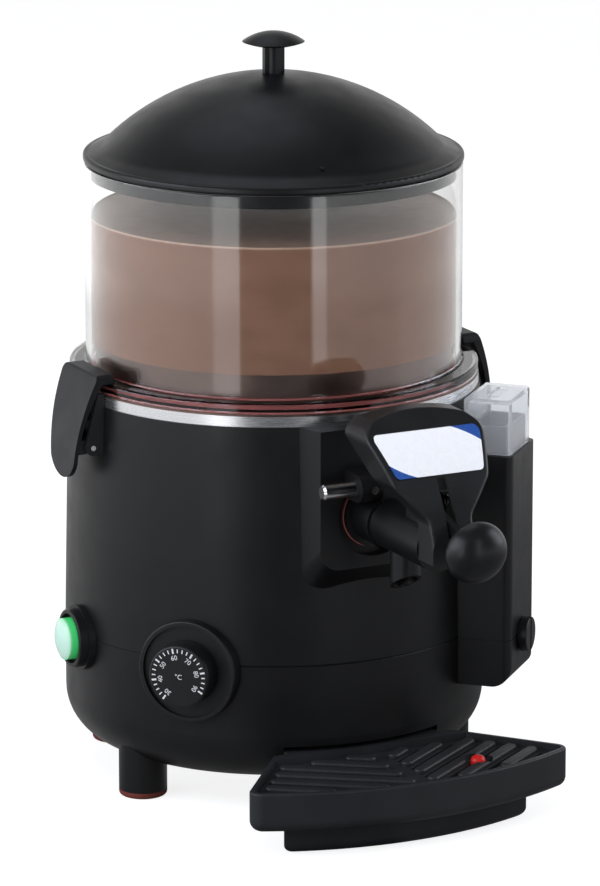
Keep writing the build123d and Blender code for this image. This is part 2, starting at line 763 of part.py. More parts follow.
# Lower housing with its legs and the bay for the drip tray
bay_half = TRAY_TONGUE_HALF + BAY_GAP
bay_back = TRAY_TONGUE_BACK - BAY_GAP
bay_top_z = TRAY_TOP_Z + BAY_TOP_GAP
lip_r = BODY_R - BODY_WALL

with BuildPart() as bay_walls:
    with BuildSketch(level(BODY_BOTTOM_Z)):
        with Locations((0, BODY_WALL - bay_back)):
            Rectangle(2 * (bay_half + BODY_WALL), BODY_R, align=(Align.CENTER, Align.MAX))
    extrude(amount=bay_top_z + BODY_WALL - BODY_BOTTOM_Z)
    revolve(body_section(0), axis=BODY_AXIS, mode=Mode.INTERSECT)

with BuildPart() as lower_housing:
    revolve(body_section(0), axis=BODY_AXIS)
    for azimuth in FOOT_AZIMUTHS:
        bar(level(PAD_HEIGHT, azimuth, FOOT_PLACE_R), FOOT_R, FOOT_TOP_Z - PAD_HEIGHT)
    revolve(body_section(BODY_WALL), axis=BODY_AXIS, mode=Mode.SUBTRACT)
    revolve(turned((lip_r, SEAM_Z - LIP_HEIGHT), (lip_r, SEAM_Z), (lip_r - SLIDE_GAP, SEAM_Z),
                   (lip_r - SLIDE_GAP, SEAM_Z + LIP_HEIGHT),
                   (lip_r - SLIDE_GAP - LIP_WALL, SEAM_Z + LIP_HEIGHT),
                   (lip_r - SLIDE_GAP - LIP_WALL, SEAM_Z - LIP_HEIGHT)), axis=BODY_AXIS)
    revolve(turned((BODY_R - SEAM_BEVEL, SEAM_Z), (BODY_R, SEAM_Z), (BODY_R, SEAM_Z - SEAM_BEVEL)),
            axis=BODY_AXIS, mode=Mode.SUBTRACT)
    bore(level(0), FLOOR_OPENING_R, BODY_BOTTOM_Z + BODY_WALL)
    add(bay_walls.part)
    with BuildSketch(level(0)):
        with Locations((0, -bay_back)):
            Rectangle(2 * bay_half, BODY_R, align=(Align.CENTER, Align.MAX))
    extrude(amount=bay_top_z, mode=Mode.SUBTRACT)
    bore(facing(DIAL_AZIMUTH, 0, DIAL_Z), COLLAR_NECK_R + SEAT_GAP, 2 * BODY_R)
    bore(facing(SWITCH_AZIMUTH, 0, SWITCH_Z), BEZEL_NECK_R + SEAT_GAP, 2 * BODY_R)
    bore(facing(INLET_AZIMUTH, 0, INLET_Z), INLET_NECK_R + SEAT_GAP, 2 * BODY_R)
    for azimuth in FOOT_AZIMUTHS:
        bore(level(0, azimuth, FOOT_PLACE_R), FOOT_SCREW_R + SEAT_GAP, FOOT_SCREW_RECESS + FOOT_SCREW_LENGTH)
    for azimuth in PLATE_SCREW_AZIMUTHS:
        bore(level(0, azimuth, PLATE_SCREW_PLACE_R), PLATE_SCREW_R + SEAT_GAP, BODY_BOTTOM_Z + BODY_WALL)
finish(lower_housing, "lower_housing")

with BuildPart() as foot_pads:
    for azimuth in FOOT_AZIMUTHS:
        bar(level(0, azimuth, FOOT_PLACE_R), FOOT_R, PAD_HEIGHT)
    fillet(foot_pads.edges().group_by(Axis.Z)[0], PAD_EDGE)
    for azimuth in FOOT_AZIMUTHS:
        bore(level(0, azimuth, FOOT_PLACE_R), FOOT_SCREW_R + SEAT_GAP, PAD_HEIGHT)
        bore(level(0, azimuth, FOOT_PLACE_R), FOOT_SCREW_HEAD_R + SEAT_GAP, FOOT_SCREW_RECESS)
finish(foot_pads, "foot_pads")

with BuildPart() as foot_screws:
    for azimuth in FOOT_AZIMUTHS:
        screw(under(FOOT_SCREW_RECESS, azimuth, FOOT_PLACE_R), FOOT_SCREW_HEAD_R, FOOT_SCREW_HEAD,
              FOOT_SCREW_R, FOOT_SCREW_LENGTH)
finish(foot_screws, "foot_screws")


# Base plate and cable inlet
plate_z = BODY_BOTTOM_Z + BODY_WALL

with BuildPart() as base_plate:
    with BuildSketch(level(plate_z)):
        Circle(PLATE_R)
        with Locations((0, BODY_WALL + LOOSE_GAP - bay_back)):
            Rectangle(2 * PLATE_R, PLATE_R, align=(Align.CENTER, Align.MAX), mode=Mode.SUBTRACT)
    extrude(amount=PLATE_THICK)
    for azimuth in PLATE_SCREW_AZIMUTHS:
        bore(level(plate_z, azimuth, PLATE_SCREW_PLACE_R), PLATE_SCREW_R + SEAT_GAP, PLATE_THICK)
finish(base_plate, "base_plate")

with BuildPart() as base_screws:
    for azimuth in PLATE_SCREW_AZIMUTHS:
        screw(under(BODY_BOTTOM_Z, azimuth, PLATE_SCREW_PLACE_R), PLATE_SCREW_HEAD_R, PLATE_SCREW_HEAD,
              PLATE_SCREW_R, PLATE_SCREW_LENGTH)
finish(base_screws, "base_screws")

with BuildPart() as cable_inlet:
    bar(facing(INLET_AZIMUTH, BODY_R - INLET_REACH, INLET_Z), INLET_R, 2 * INLET_REACH)
    add(seat_shape.part, mode=Mode.SUBTRACT)
    bar(facing(INLET_AZIMUTH, BODY_R - INLET_NECK, INLET_Z), INLET_NECK_R, INLET_NECK + INLET_REACH)
    bore(facing(INLET_AZIMUTH, BODY_R - INLET_NECK, INLET_Z), INLET_BORE_R, INLET_NECK + INLET_REACH)
finish(cable_inlet, "cable_inlet")


# Steel rim, product pan and water jacket
rim_top_z = BODY_TOP_Z + RIM_HEIGHT
pan_top_z = rim_top_z + STEEL
outlet_bore_r = OUTLET_R - OUTLET_WALL
element_ends = (ELEMENT_START, ELEMENT_START + ELEMENT_ARC)

with BuildPart() as rim_ring:
    revolve(ring_section(RIM_INNER_R, RIM_R, BODY_TOP_Z, rim_top_z), axis=BODY_AXIS)
finish(rim_ring, "rim_ring")

with BuildPart() as product_pan:
    revolve(dish_section(PAN_R, PAN_BOTTOM_Z, PAN_COLLAR_Z, PAN_CORNER), axis=BODY_AXIS)
    revolve(ring_section(0, PAN_FLANGE_R, rim_top_z, pan_top_z), axis=BODY_AXIS)
    revolve(ring_section(0, PAN_R + PAN_HEM, PAN_COLLAR_Z - PAN_HEM_HEIGHT, PAN_COLLAR_Z), axis=BODY_AXIS)
    bar(front(PAN_R - PAN_CORNER, TAP_Z), OUTLET_R, socket_floor - OUTLET_SHORT - PAN_R + PAN_CORNER)
    revolve(dish_section(PAN_R - STEEL, PAN_BOTTOM_Z + STEEL, PAN_COLLAR_Z, PAN_CORNER - STEEL),
            axis=BODY_AXIS, mode=Mode.SUBTRACT)
    bore(front(0, TAP_Z), outlet_bore_r, socket_floor)
    bore(level(PAN_BOTTOM_Z), TUBE_R + SHAFT_GAP, STEEL)
finish(product_pan, "product_pan")

with BuildPart() as water_jacket:
    revolve(turned((0, JACKET_BOTTOM_Z), (JACKET_R, JACKET_BOTTOM_Z), (JACKET_R, BODY_TOP_Z - STEEL),
                   (JACKET_FLANGE_R, BODY_TOP_Z - STEEL), (JACKET_FLANGE_R, BODY_TOP_Z),
                   (JACKET_R - STEEL, BODY_TOP_Z), (JACKET_R - STEEL, JACKET_BOTTOM_Z + STEEL),
                   (0, JACKET_BOTTOM_Z + STEEL)), axis=BODY_AXIS)
    bore(front(0, TAP_Z), OUTLET_R + SHAFT_GAP, BODY_R)
    bore(level(JACKET_BOTTOM_Z), TUBE_R + SHAFT_GAP, STEEL)
    bore(facing(COLUMN_AZIMUTH, 0, PIPE_Z), PIPE_R + SHAFT_GAP, BODY_R)
    for azimuth in element_ends:
        bore(level(JACKET_BOTTOM_Z, azimuth, ELEMENT_RING_R), ELEMENT_TUBE_R + SEAT_GAP, STEEL)
finish(water_jacket, "water_jacket")


# Heating element around the shaft tube
with BuildPart() as heating_element:
    with BuildSketch(radial(ELEMENT_START)):
        with Locations((ELEMENT_RING_R, ELEMENT_Z)):
            Circle(ELEMENT_TUBE_R)
    revolve(axis=BODY_AXIS, revolution_arc=ELEMENT_ARC)
    for azimuth in element_ends:
        with Locations(level(ELEMENT_Z, azimuth, ELEMENT_RING_R)):
            Sphere(ELEMENT_TUBE_R)
        bar(level(ELEMENT_LEG_END_Z, azimuth, ELEMENT_RING_R), ELEMENT_TUBE_R, ELEMENT_Z - ELEMENT_LEG_END_Z)
        bar(level(JACKET_BOTTOM_Z + STEEL, azimuth, ELEMENT_RING_R), ELEMENT_COLLAR_R, ELEMENT_COLLAR)
finish(heating_element, "heating_element")


# Gear motor on its bracket, with the shaft up through the pan
motor_plate_top_z = JACKET_BOTTOM_Z - MOTOR_POST
gearbox_top_z = motor_plate_top_z - MOTOR_PLATE
shaft_low_z = gearbox_top_z + MOTOR_BOSS - MOTOR_BOSS_BORE
agitator_low_z = PAN_BOTTOM_Z + STEEL + AGITATOR_FLOOR_GAP
hub_low_z = TUBE_TOP_Z + SEAL_HEIGHT + AGITATOR_HUB_GAP
agitator_top_z = SHAFT_TOP_Z + AGITATOR_CAP

with BuildPart() as motor_bracket:
    bar(level(gearbox_top_z), MOTOR_PLATE_R, MOTOR_PLATE)
    bore(level(gearbox_top_z), MOTOR_BOSS_R + LOOSE_GAP, MOTOR_PLATE)
    for azimuth in MOTOR_AZIMUTHS:
        bar(level(motor_plate_top_z, azimuth, MOTOR_POST_PLACE_R), MOTOR_POST_R, MOTOR_POST)
finish(motor_bracket, "motor_bracket")

with BuildPart() as gear_motor:
    bar(under(gearbox_top_z), GEARBOX_R, GEARBOX_HEIGHT)
    bar(under(gearbox_top_z - GEARBOX_HEIGHT), MOTOR_R, MOTOR_HEIGHT)
    bar(level(gearbox_top_z), MOTOR_BOSS_R, MOTOR_BOSS)
    bore(level(shaft_low_z), SHAFT_R + SHAFT_GAP, MOTOR_BOSS_BORE)
finish(gear_motor, "gear_motor")

with BuildPart() as shaft_tube:
    tube_low_z = JACKET_BOTTOM_Z - TUBE_TAIL
    revolve(ring_section(TUBE_R - TUBE_WALL, TUBE_R, tube_low_z, TUBE_TOP_Z), axis=BODY_AXIS)
finish(shaft_tube, "shaft_tube")

with BuildPart() as shaft_seal:
    revolve(ring_section(SHAFT_R + SHAFT_GAP, TUBE_R, TUBE_TOP_Z, TUBE_TOP_Z + SEAL_HEIGHT), axis=BODY_AXIS)
finish(shaft_seal, "shaft_seal")

with BuildPart() as drive_shaft:
    bar(level(shaft_low_z + SLIDE_GAP), SHAFT_R, SHAFT_TOP_Z - shaft_low_z - SLIDE_GAP)
finish(drive_shaft, "drive_shaft")

with BuildPart() as agitator:
    bar(level(hub_low_z), AGITATOR_HUB_R, agitator_top_z - hub_low_z)
    arch = TUBE_R + AGITATOR_TUBE_GAP
    extrude(outline(radial(90), (-AGITATOR_R, agitator_low_z), (-AGITATOR_R, AGITATOR_BLADE_TOP_Z),
                    (-AGITATOR_HUB_R, agitator_top_z), (AGITATOR_HUB_R, agitator_top_z),
                    (AGITATOR_R, AGITATOR_BLADE_TOP_Z), (AGITATOR_R, agitator_low_z),
                    (arch, agitator_low_z), (arch, hub_low_z), (-arch, hub_low_z),
                    (-arch, agitator_low_z)), amount=AGITATOR_BLADE / 2, both=True)
    for way in (-1, 1):
        with BuildSketch(level(agitator_low_z)):
            with Locations((way * AGITATOR_FIN_PLACE_R, 0)):
                Rectangle(AGITATOR_BLADE, AGITATOR_FIN)
        extrude(amount=AGITATOR_BLADE_TOP_Z - agitator_low_z)
        with BuildSketch(radial(90)):
            with Locations((way * AGITATOR_HOLE_PLACE_R, (agitator_low_z + AGITATOR_BLADE_TOP_Z) / 2)):
                Circle(AGITATOR_HOLE_R)
        extrude(amount=AGITATOR_BLADE, both=True, mode=Mode.SUBTRACT)
    bore(level(hub_low_z), SHAFT_R + SHAFT_GAP, SHAFT_TOP_Z + SLIDE_GAP - hub_low_z)
finish(agitator, "agitator")


# Bowl on its gasket
bowl_foot_z = pan_top_z + GASKET_THICK
bowl_inner_r = BOWL_R - BOWL_WALL
lip_low_z = pan_top_z + BOWL_LIP_LIFT
lip_inner_r = BOWL_FLANGE_R - BOWL_LIP_WALL

with BuildPart() as bowl:
    with BuildSketch(radial(90)) as bowl_face:
        with BuildLine():
            Polyline((BOWL_R, BOWL_TOP_Z), (BOWL_R, BOWL_FLANGE_TOP_Z), (BOWL_FLANGE_R, BOWL_FLANGE_TOP_Z),
                     (BOWL_FLANGE_R, lip_low_z), (lip_inner_r, lip_low_z), (lip_inner_r, bowl_foot_z),
                     (bowl_inner_r, bowl_foot_z), (bowl_inner_r, BOWL_TOP_Z), close=True)
        make_face()
        fillet(bowl_face.vertices().group_by(Axis.Y)[2], BOWL_FLANGE_EDGE)
    revolve(axis=BODY_AXIS)
    fillet(bowl.edges().group_by(Axis.Z)[-1], BOWL_RIM_EDGE)
finish(bowl, "bowl")

with BuildPart() as bowl_gasket:
    gasket_inner_r = PAN_R + GASKET_SIDE_GAP
    gasket_outer_r = lip_inner_r - GASKET_SIDE_GAP
    gasket_lip_r = bowl_inner_r - GASKET_SIDE_GAP
    gasket_top_z = bowl_foot_z + GASKET_LIP
    revolve(turned((gasket_inner_r, pan_top_z), (gasket_outer_r, pan_top_z), (gasket_outer_r, bowl_foot_z),
                   (gasket_lip_r, bowl_foot_z), (gasket_lip_r, gasket_top_z), (gasket_inner_r, gasket_top_z)),
            axis=BODY_AXIS)
finish(bowl_gasket, "bowl_gasket")


# Lid with its knob
lid_low_z = BOWL_TOP_Z + SEAT_GAP
lid_rim_z = lid_low_z + LID_RIM
lid_apex_z = lid_rim_z + LID_FLARE_RISE + LID_DOME_RISE
lid_dome_r = (LID_DOME_FOOT_R**2 + LID_DOME_RISE**2) / (2 * LID_DOME_RISE)
dome_z = lid_apex_z - lid_dome_r
knob_top_z = lid_apex_z + KNOB_RISE
knob_edge_z = knob_top_z - KNOB_CROWN
knob_cap_low_z = knob_edge_z - KNOB_UNDER
spigot_r = bowl_inner_r - LID_SPIGOT_GAP


def dome_height(radius, inset):
    """Height of the dome at a radius, moved inward by an inset."""
    return dome_z + sqrt((lid_dome_r - inset) ** 2 - radius**2)


def dome_arc(foot_r, inset):
    """Arc of the dome from its apex out to a foot radius."""
    ThreePointArc((0, dome_height(0, inset)), (foot_r / 2, dome_height(foot_r / 2, inset)),
                  (foot_r, dome_height(foot_r, inset)))


with BuildPart() as lid:
    foot_r = LID_DOME_FOOT_R
    inner_foot_r = LID_DOME_FOOT_R - LID_WALL
    dome_foot = (foot_r, dome_height(foot_r, 0))
    with BuildSketch(radial(90)) as lid_face:
        with BuildLine():
            dome_arc(foot_r, 0)
            Polyline(dome_foot, (LID_FLARE_R, lid_rim_z), (LID_R, lid_rim_z), (LID_R, lid_low_z),
                     (spigot_r, lid_low_z), (spigot_r, lid_low_z - LID_SPIGOT),
                     (spigot_r - LID_SPIGOT_WALL, lid_low_z - LID_SPIGOT),
                     (spigot_r - LID_SPIGOT_WALL, lid_rim_z - LID_WALL),
                     (inner_foot_r, dome_height(inner_foot_r, LID_WALL)))
            dome_arc(inner_foot_r, LID_WALL)
            Line((0, dome_height(0, 0)), (0, dome_height(0, LID_WALL)))
        make_face()
        fillet(lid_face.vertices().group_by(Axis.X)[-1], LID_RIM_EDGE)
        fillet(lid_face.vertices().sort_by_distance(dome_foot)[0], LID_FLARE_ROUND)
    revolve(axis=BODY_AXIS)
    bore(level(dome_z), KNOB_SCREW_R + SEAT_GAP, 2 * lid_dome_r)
    bore(level(dome_z, VENT_AZIMUTH, VENT_PLACE_R), VENT_R, 2 * lid_dome_r)
finish(lid, "lid")

knob_screw_z = lid_apex_z - LID_WALL - SEAT_GAP
with BuildPart() as lid_knob:
    with BuildSketch(radial(90)):
        with BuildLine():
            ThreePointArc((0, knob_top_z), (KNOB_R / 2, cap_middle(KNOB_R, knob_edge_z, knob_top_z)),
                          (KNOB_R, knob_edge_z))
            ThreePointArc((KNOB_R, knob_edge_z), (KNOB_R / 2, cap_middle(KNOB_R, knob_edge_z, knob_cap_low_z)),
                          (0, knob_cap_low_z))
            Line((0, knob_cap_low_z), (0, knob_top_z))
        make_face()
    revolve(axis=BODY_AXIS)
    with BuildSketch(level(lid_apex_z - LID_WALL)):
        Circle(KNOB_CORE_R)
        Rectangle(2 * KNOB_STEM_R, KNOB_RIB)
        Rectangle(KNOB_RIB, 2 * KNOB_STEM_R)
    extrude(amount=knob_edge_z - lid_apex_z + LID_WALL)
    with Locations(level(dome_z)):
        Sphere(lid_dome_r + SHAFT_GAP, mode=Mode.SUBTRACT)
    bore(level(knob_screw_z), KNOB_SCREW_R + SEAT_GAP, KNOB_SCREW_LENGTH)
finish(lid_knob, "lid_knob")

with BuildPart() as knob_screw:
    screw(under(knob_screw_z), KNOB_SCREW_HEAD_R, KNOB_SCREW_HEAD, KNOB_SCREW_R, KNOB_SCREW_LENGTH - SLIDE_GAP)
finish(knob_screw, "knob_screw")


# Side latches that hold the bowl down, each on its own bracket
ear_inner = LATCH_LUG_HALF + EAR_SIDE_GAP
ear_outer = ear_inner + EAR_WALL
rim_clear_r = RIM_R + BRACKET_RIM_GAP
lug_length = LATCH_REACH - LATCH_THICK - LATCH_PIVOT_R
pivot = (LATCH_PIVOT_R, LATCH_PIVOT_Z)
hook_low_z = BOWL_FLANGE_TOP_Z + LATCH_BOWL_GAP
latch_slope = (LATCH_REACH - LATCH_TOP_R) / (LATCH_TOP_Z - LATCH_TIP_Z)
latch_mid_r = LATCH_TOP_R + latch_slope * (LATCH_TOP_Z - LATCH_MID_Z) + LATCH_BULGE


def latch_pin_hole(azimuth, radius, half, mode):
    with BuildSketch(radial(azimuth)) as face:
        with Locations(pivot):
            Circle(radius)
    extrude(face.sketch, amount=half, both=True, mode=mode)


for name, azimuth in (("left", -90), ("right", 90)):
    with BuildPart() as latch:
        with BuildSketch(radial(azimuth)) as latch_side:
            with BuildLine():
                ThreePointArc((LATCH_TOP_R, LATCH_TOP_Z), (latch_mid_r, LATCH_MID_Z),
                              (LATCH_REACH, LATCH_TIP_Z))
                Line((LATCH_REACH, LATCH_TIP_Z), (LATCH_REACH - LATCH_THICK, LATCH_TIP_Z))
                ThreePointArc((LATCH_REACH - LATCH_THICK, LATCH_TIP_Z),
                              (latch_mid_r - LATCH_THICK, LATCH_MID_Z), (LATCH_HOOK_ROOT_R, hook_low_z))
                Polyline((LATCH_HOOK_ROOT_R, hook_low_z), (LATCH_HOOK_R, hook_low_z),
                         (LATCH_HOOK_R, LATCH_TOP_Z), (LATCH_TOP_R, LATCH_TOP_Z))
            make_face()
            fillet(latch_side.vertices().sort_by_distance((LATCH_TOP_R, LATCH_TOP_Z))[0], LATCH_TOP_EDGE)
        extrude(amount=LATCH_TOP_HALF, both=True)
        with BuildSketch(radial(azimuth)):
            with Locations(pivot):
                Circle(LATCH_LUG_R)
                Rectangle(lug_length, 2 * LATCH_LUG_R, align=(Align.MIN, Align.CENTER))
        extrude(amount=LATCH_LUG_HALF, both=True)
        with BuildSketch(facing(azimuth, 0, 0)) as plate_face:
            with BuildLine():
                Polyline((LATCH_LOW_HALF, LATCH_LOW_Z), (LATCH_MID_HALF, LATCH_MID_Z),
                         (LATCH_TOP_HALF, LATCH_TOP_Z), (-LATCH_TOP_HALF, LATCH_TOP_Z),
                         (-LATCH_MID_HALF, LATCH_MID_Z), (-LATCH_LOW_HALF, LATCH_LOW_Z))
                ThreePointArc((-LATCH_LOW_HALF, LATCH_LOW_Z), (0, LATCH_TIP_Z), (LATCH_LOW_HALF, LATCH_LOW_Z))
            make_face()
            fillet(plate_face.vertices().group_by(Axis.Y)[-1], LATCH_TOP_CORNER)
        extrude(amount=2 * LATCH_REACH, mode=Mode.INTERSECT)
        # Room for the bowl's flange under the hook
        revolve(ring_section(0, BOWL_FLANGE_R + LATCH_BOWL_GAP, LATCH_PIVOT_Z, hook_low_z),
                axis=BODY_AXIS, mode=Mode.SUBTRACT)
        latch_pin_hole(azimuth, LATCH_PIN_R + SHAFT_GAP, LATCH_TOP_HALF, Mode.SUBTRACT)
    finish(latch, "latch_" + name)

    with BuildPart() as bracket:
        with BuildSketch(radial(azimuth)):
            with Locations(pivot):
                Circle(EAR_END_R)
            with BuildLine():
                Polyline((BODY_TOP_R - BODY_WALL, LATCH_PIVOT_Z - EAR_END_R),
                         (LATCH_PIVOT_R, LATCH_PIVOT_Z - EAR_END_R),
                         (LATCH_PIVOT_R + EAR_END_R, LATCH_PIVOT_Z), (EAR_TOP_R, EAR_TOP_Z),
                         (BODY_TOP_R - BODY_WALL, EAR_TOP_Z), close=True)
            make_face()
        extrude(amount=ear_outer, both=True)
        with BuildSketch(facing(azimuth, 0, LATCH_PIVOT_Z - 2 * EAR_END_R)):
            Rectangle(2 * ear_inner, LATCH_TOP_Z, align=(Align.CENTER, Align.MIN))
        extrude(amount=2 * LATCH_REACH, mode=Mode.SUBTRACT)
        with BuildSketch(facing(azimuth, BODY_TOP_R - BODY_WALL, BRACKET_WEB_LOW_Z)):
            Rectangle(2 * ear_outer, BODY_TOP_Z - BRACKET_WEB_LOW_Z, align=(Align.CENTER, Align.MIN))
        extrude(amount=BRACKET_WEB_R - BODY_TOP_R + BODY_WALL)
        add(seat_shape.part, mode=Mode.SUBTRACT)
        revolve(ring_section(0, rim_clear_r, BODY_TOP_Z, LATCH_TOP_Z), axis=BODY_AXIS, mode=Mode.SUBTRACT)
        latch_pin_hole(azimuth, LATCH_PIN_R + SHAFT_GAP, 2 * ear_outer, Mode.SUBTRACT)
        for along in (-BRACKET_SCREW_SPREAD / 2, BRACKET_SCREW_SPREAD / 2):
            bore(facing(azimuth, 0, bracket_screw_z, along), BRACKET_SCREW_R + SEAT_GAP, 2 * BODY_R)
    finish(bracket, "latch_bracket_" + name)

with BuildPart() as latch_pins:
    for azimuth in (-90, 90):
        latch_pin_hole(azimuth, LATCH_PIN_R, ear_outer + LATCH_PIN_PROUD, Mode.ADD)
finish(latch_pins, "latch_pins")

with BuildPart() as bracket_screws:
    for azimuth, along in bracket_screw_places:
        screw(facing(azimuth, BRACKET_WEB_R, bracket_screw_z, along), BRACKET_SCREW_HEAD_R, BRACKET_SCREW_HEAD,
              BRACKET_SCREW_R, BRACKET_SCREW_LENGTH)
finish(bracket_screws, "bracket_screws")


# Dial in its collar, with the thermostat behind
dial_floor = BODY_R + COLLAR_FLOOR_RISE
dial_floor_back = dial_floor - COLLAR_FLOOR
dial_back = dial_floor + DIAL_GAP
dial_shaft_back = dial_floor_back + DIAL_SHAFT_BACK_GAP

with BuildPart() as dial_collar:
    bar(facing(DIAL_AZIMUTH, BODY_R - COLLAR_RISE, DIAL_Z), COLLAR_R, 2 * COLLAR_RISE)
    fillet(dial_collar.edges().filter_by(GeomType.CIRCLE).sort_by_distance(BODY_AXIS.position)[-1], COLLAR_EDGE)
    add(seat_shape.part, mode=Mode.SUBTRACT)
    bar(facing(DIAL_AZIMUTH, BODY_R - COLLAR_NECK, DIAL_Z), COLLAR_NECK_R, COLLAR_NECK + COLLAR_FLOOR_RISE)
    bore(facing(DIAL_AZIMUTH, dial_floor, DIAL_Z), COLLAR_R - COLLAR_WALL, COLLAR_RISE)
    bore(facing(DIAL_AZIMUTH, dial_floor_back, DIAL_Z), COLLAR_NECK_R - COLLAR_NECK_WALL, -COLLAR_NECK)
    bore(facing(DIAL_AZIMUTH, dial_floor_back, DIAL_Z), DIAL_SHAFT_R + SHAFT_GAP, COLLAR_FLOOR)
finish(dial_collar, "dial_collar")

with BuildPart() as dial:
    bar(facing(DIAL_AZIMUTH, dial_back, DIAL_Z), DIAL_R, DIAL_HEIGHT)
    fillet(dial.edges().filter_by(GeomType.CIRCLE).sort_by_distance(BODY_AXIS.position)[-1], DIAL_EDGE)
    bar(facing(DIAL_AZIMUTH, dial_shaft_back, DIAL_Z), DIAL_SHAFT_R, dial_back - dial_shaft_back)
finish(dial, "dial")

with BuildPart() as thermostat:
    with BuildSketch(facing(DIAL_AZIMUTH, dial_floor_back - THERMOSTAT_DEPTH, DIAL_Z)):
        Rectangle(THERMOSTAT_SIZE, THERMOSTAT_SIZE)
    extrude(amount=THERMOSTAT_DEPTH)
finish(thermostat, "thermostat")


# Power button in its bezel, with the switch behind
with BuildPart() as switch_bezel:
    bar(facing(SWITCH_AZIMUTH, BODY_R + BEZEL_RISE / 2, SWITCH_Z), BEZEL_RING_R,
        BEZEL_RING_RISE - BEZEL_RISE / 2)
    fillet(switch_bezel.edges().filter_by(GeomType.CIRCLE).sort_by_distance(BODY_AXIS.position)[-1], BEZEL_EDGE)
    bar(facing(SWITCH_AZIMUTH, BODY_R - BEZEL_RISE, SWITCH_Z), BEZEL_R, 2 * BEZEL_RISE)
    add(seat_shape.part, mode=Mode.SUBTRACT)
    bar(facing(SWITCH_AZIMUTH, BODY_R - BEZEL_NECK, SWITCH_Z), BEZEL_NECK_R, BEZEL_NECK + BEZEL_RISE)
    bore(facing(SWITCH_AZIMUTH, BODY_R + BEZEL_RING_RISE, SWITCH_Z), BEZEL_WELL_R, -BEZEL_WELL)
    bore(facing(SWITCH_AZIMUTH, BODY_R - BEZEL_NECK, SWITCH_Z), BUTTON_R + SLIDE_GAP,
         BEZEL_NECK + 2 * BEZEL_RING_RISE)
finish(switch_bezel, "switch_bezel")

with BuildPart() as power_button:
    back = BODY_R - BUTTON_DEPTH
    rim = BODY_R + BUTTON_RISE
    apex = rim + BUTTON_DOME
    with BuildSketch(level(SWITCH_Z, SWITCH_AZIMUTH)):
        with BuildLine():
            Polyline((0, -apex), (0, -back), (BUTTON_R, -back), (BUTTON_R, -rim))
            ThreePointArc((BUTTON_R, -rim), (BUTTON_R / 2, cap_middle(BUTTON_R, -rim, -apex)), (0, -apex))
        make_face()
    revolve(axis=Axis(spot(SWITCH_AZIMUTH, 0, SWITCH_Z), facing(SWITCH_AZIMUTH, 0, 0).z_dir))
finish(power_button, "power_button")

with BuildPart() as switch_body:
    with BuildSketch(facing(SWITCH_AZIMUTH, BODY_R - BEZEL_NECK - SWITCH_BODY_DEPTH, SWITCH_Z)):
        Rectangle(SWITCH_BODY_SIZE, SWITCH_BODY_SIZE)
    extrude(amount=SWITCH_BODY_DEPTH)
finish(switch_body, "switch_body")


# Tap barrel, its seals and its spout
spigot_outer_r = outlet_bore_r - SPIGOT_GAP
flange_back = socket_floor + GASKET_RING
flange_front = flange_back + BARREL_FLANGE
collar_end = BARREL_COLLAR_AT + BARREL_COLLAR
spigot_ring_r = outlet_bore_r - RING_GAP - RING_R
piston_ring_r = PISTON_BORE_R - RING_GAP - RING_R
hub_slot_half = LEVER_HUB_HALF + LUG_GAP


def ring_groove(forward, ring_r):
    """Groove for a seal ring, cut into the piece from its outside."""
    floor = ring_r - RING_R - RING_GAP
    revolve(tap_section((forward - RING_GROOVE_HALF, floor), (forward + RING_GROOVE_HALF, floor),
                        (forward + RING_GROOVE_HALF, BARREL_R), (forward - RING_GROOVE_HALF, BARREL_R)),
            axis=TAP_AXIS, mode=Mode.SUBTRACT)


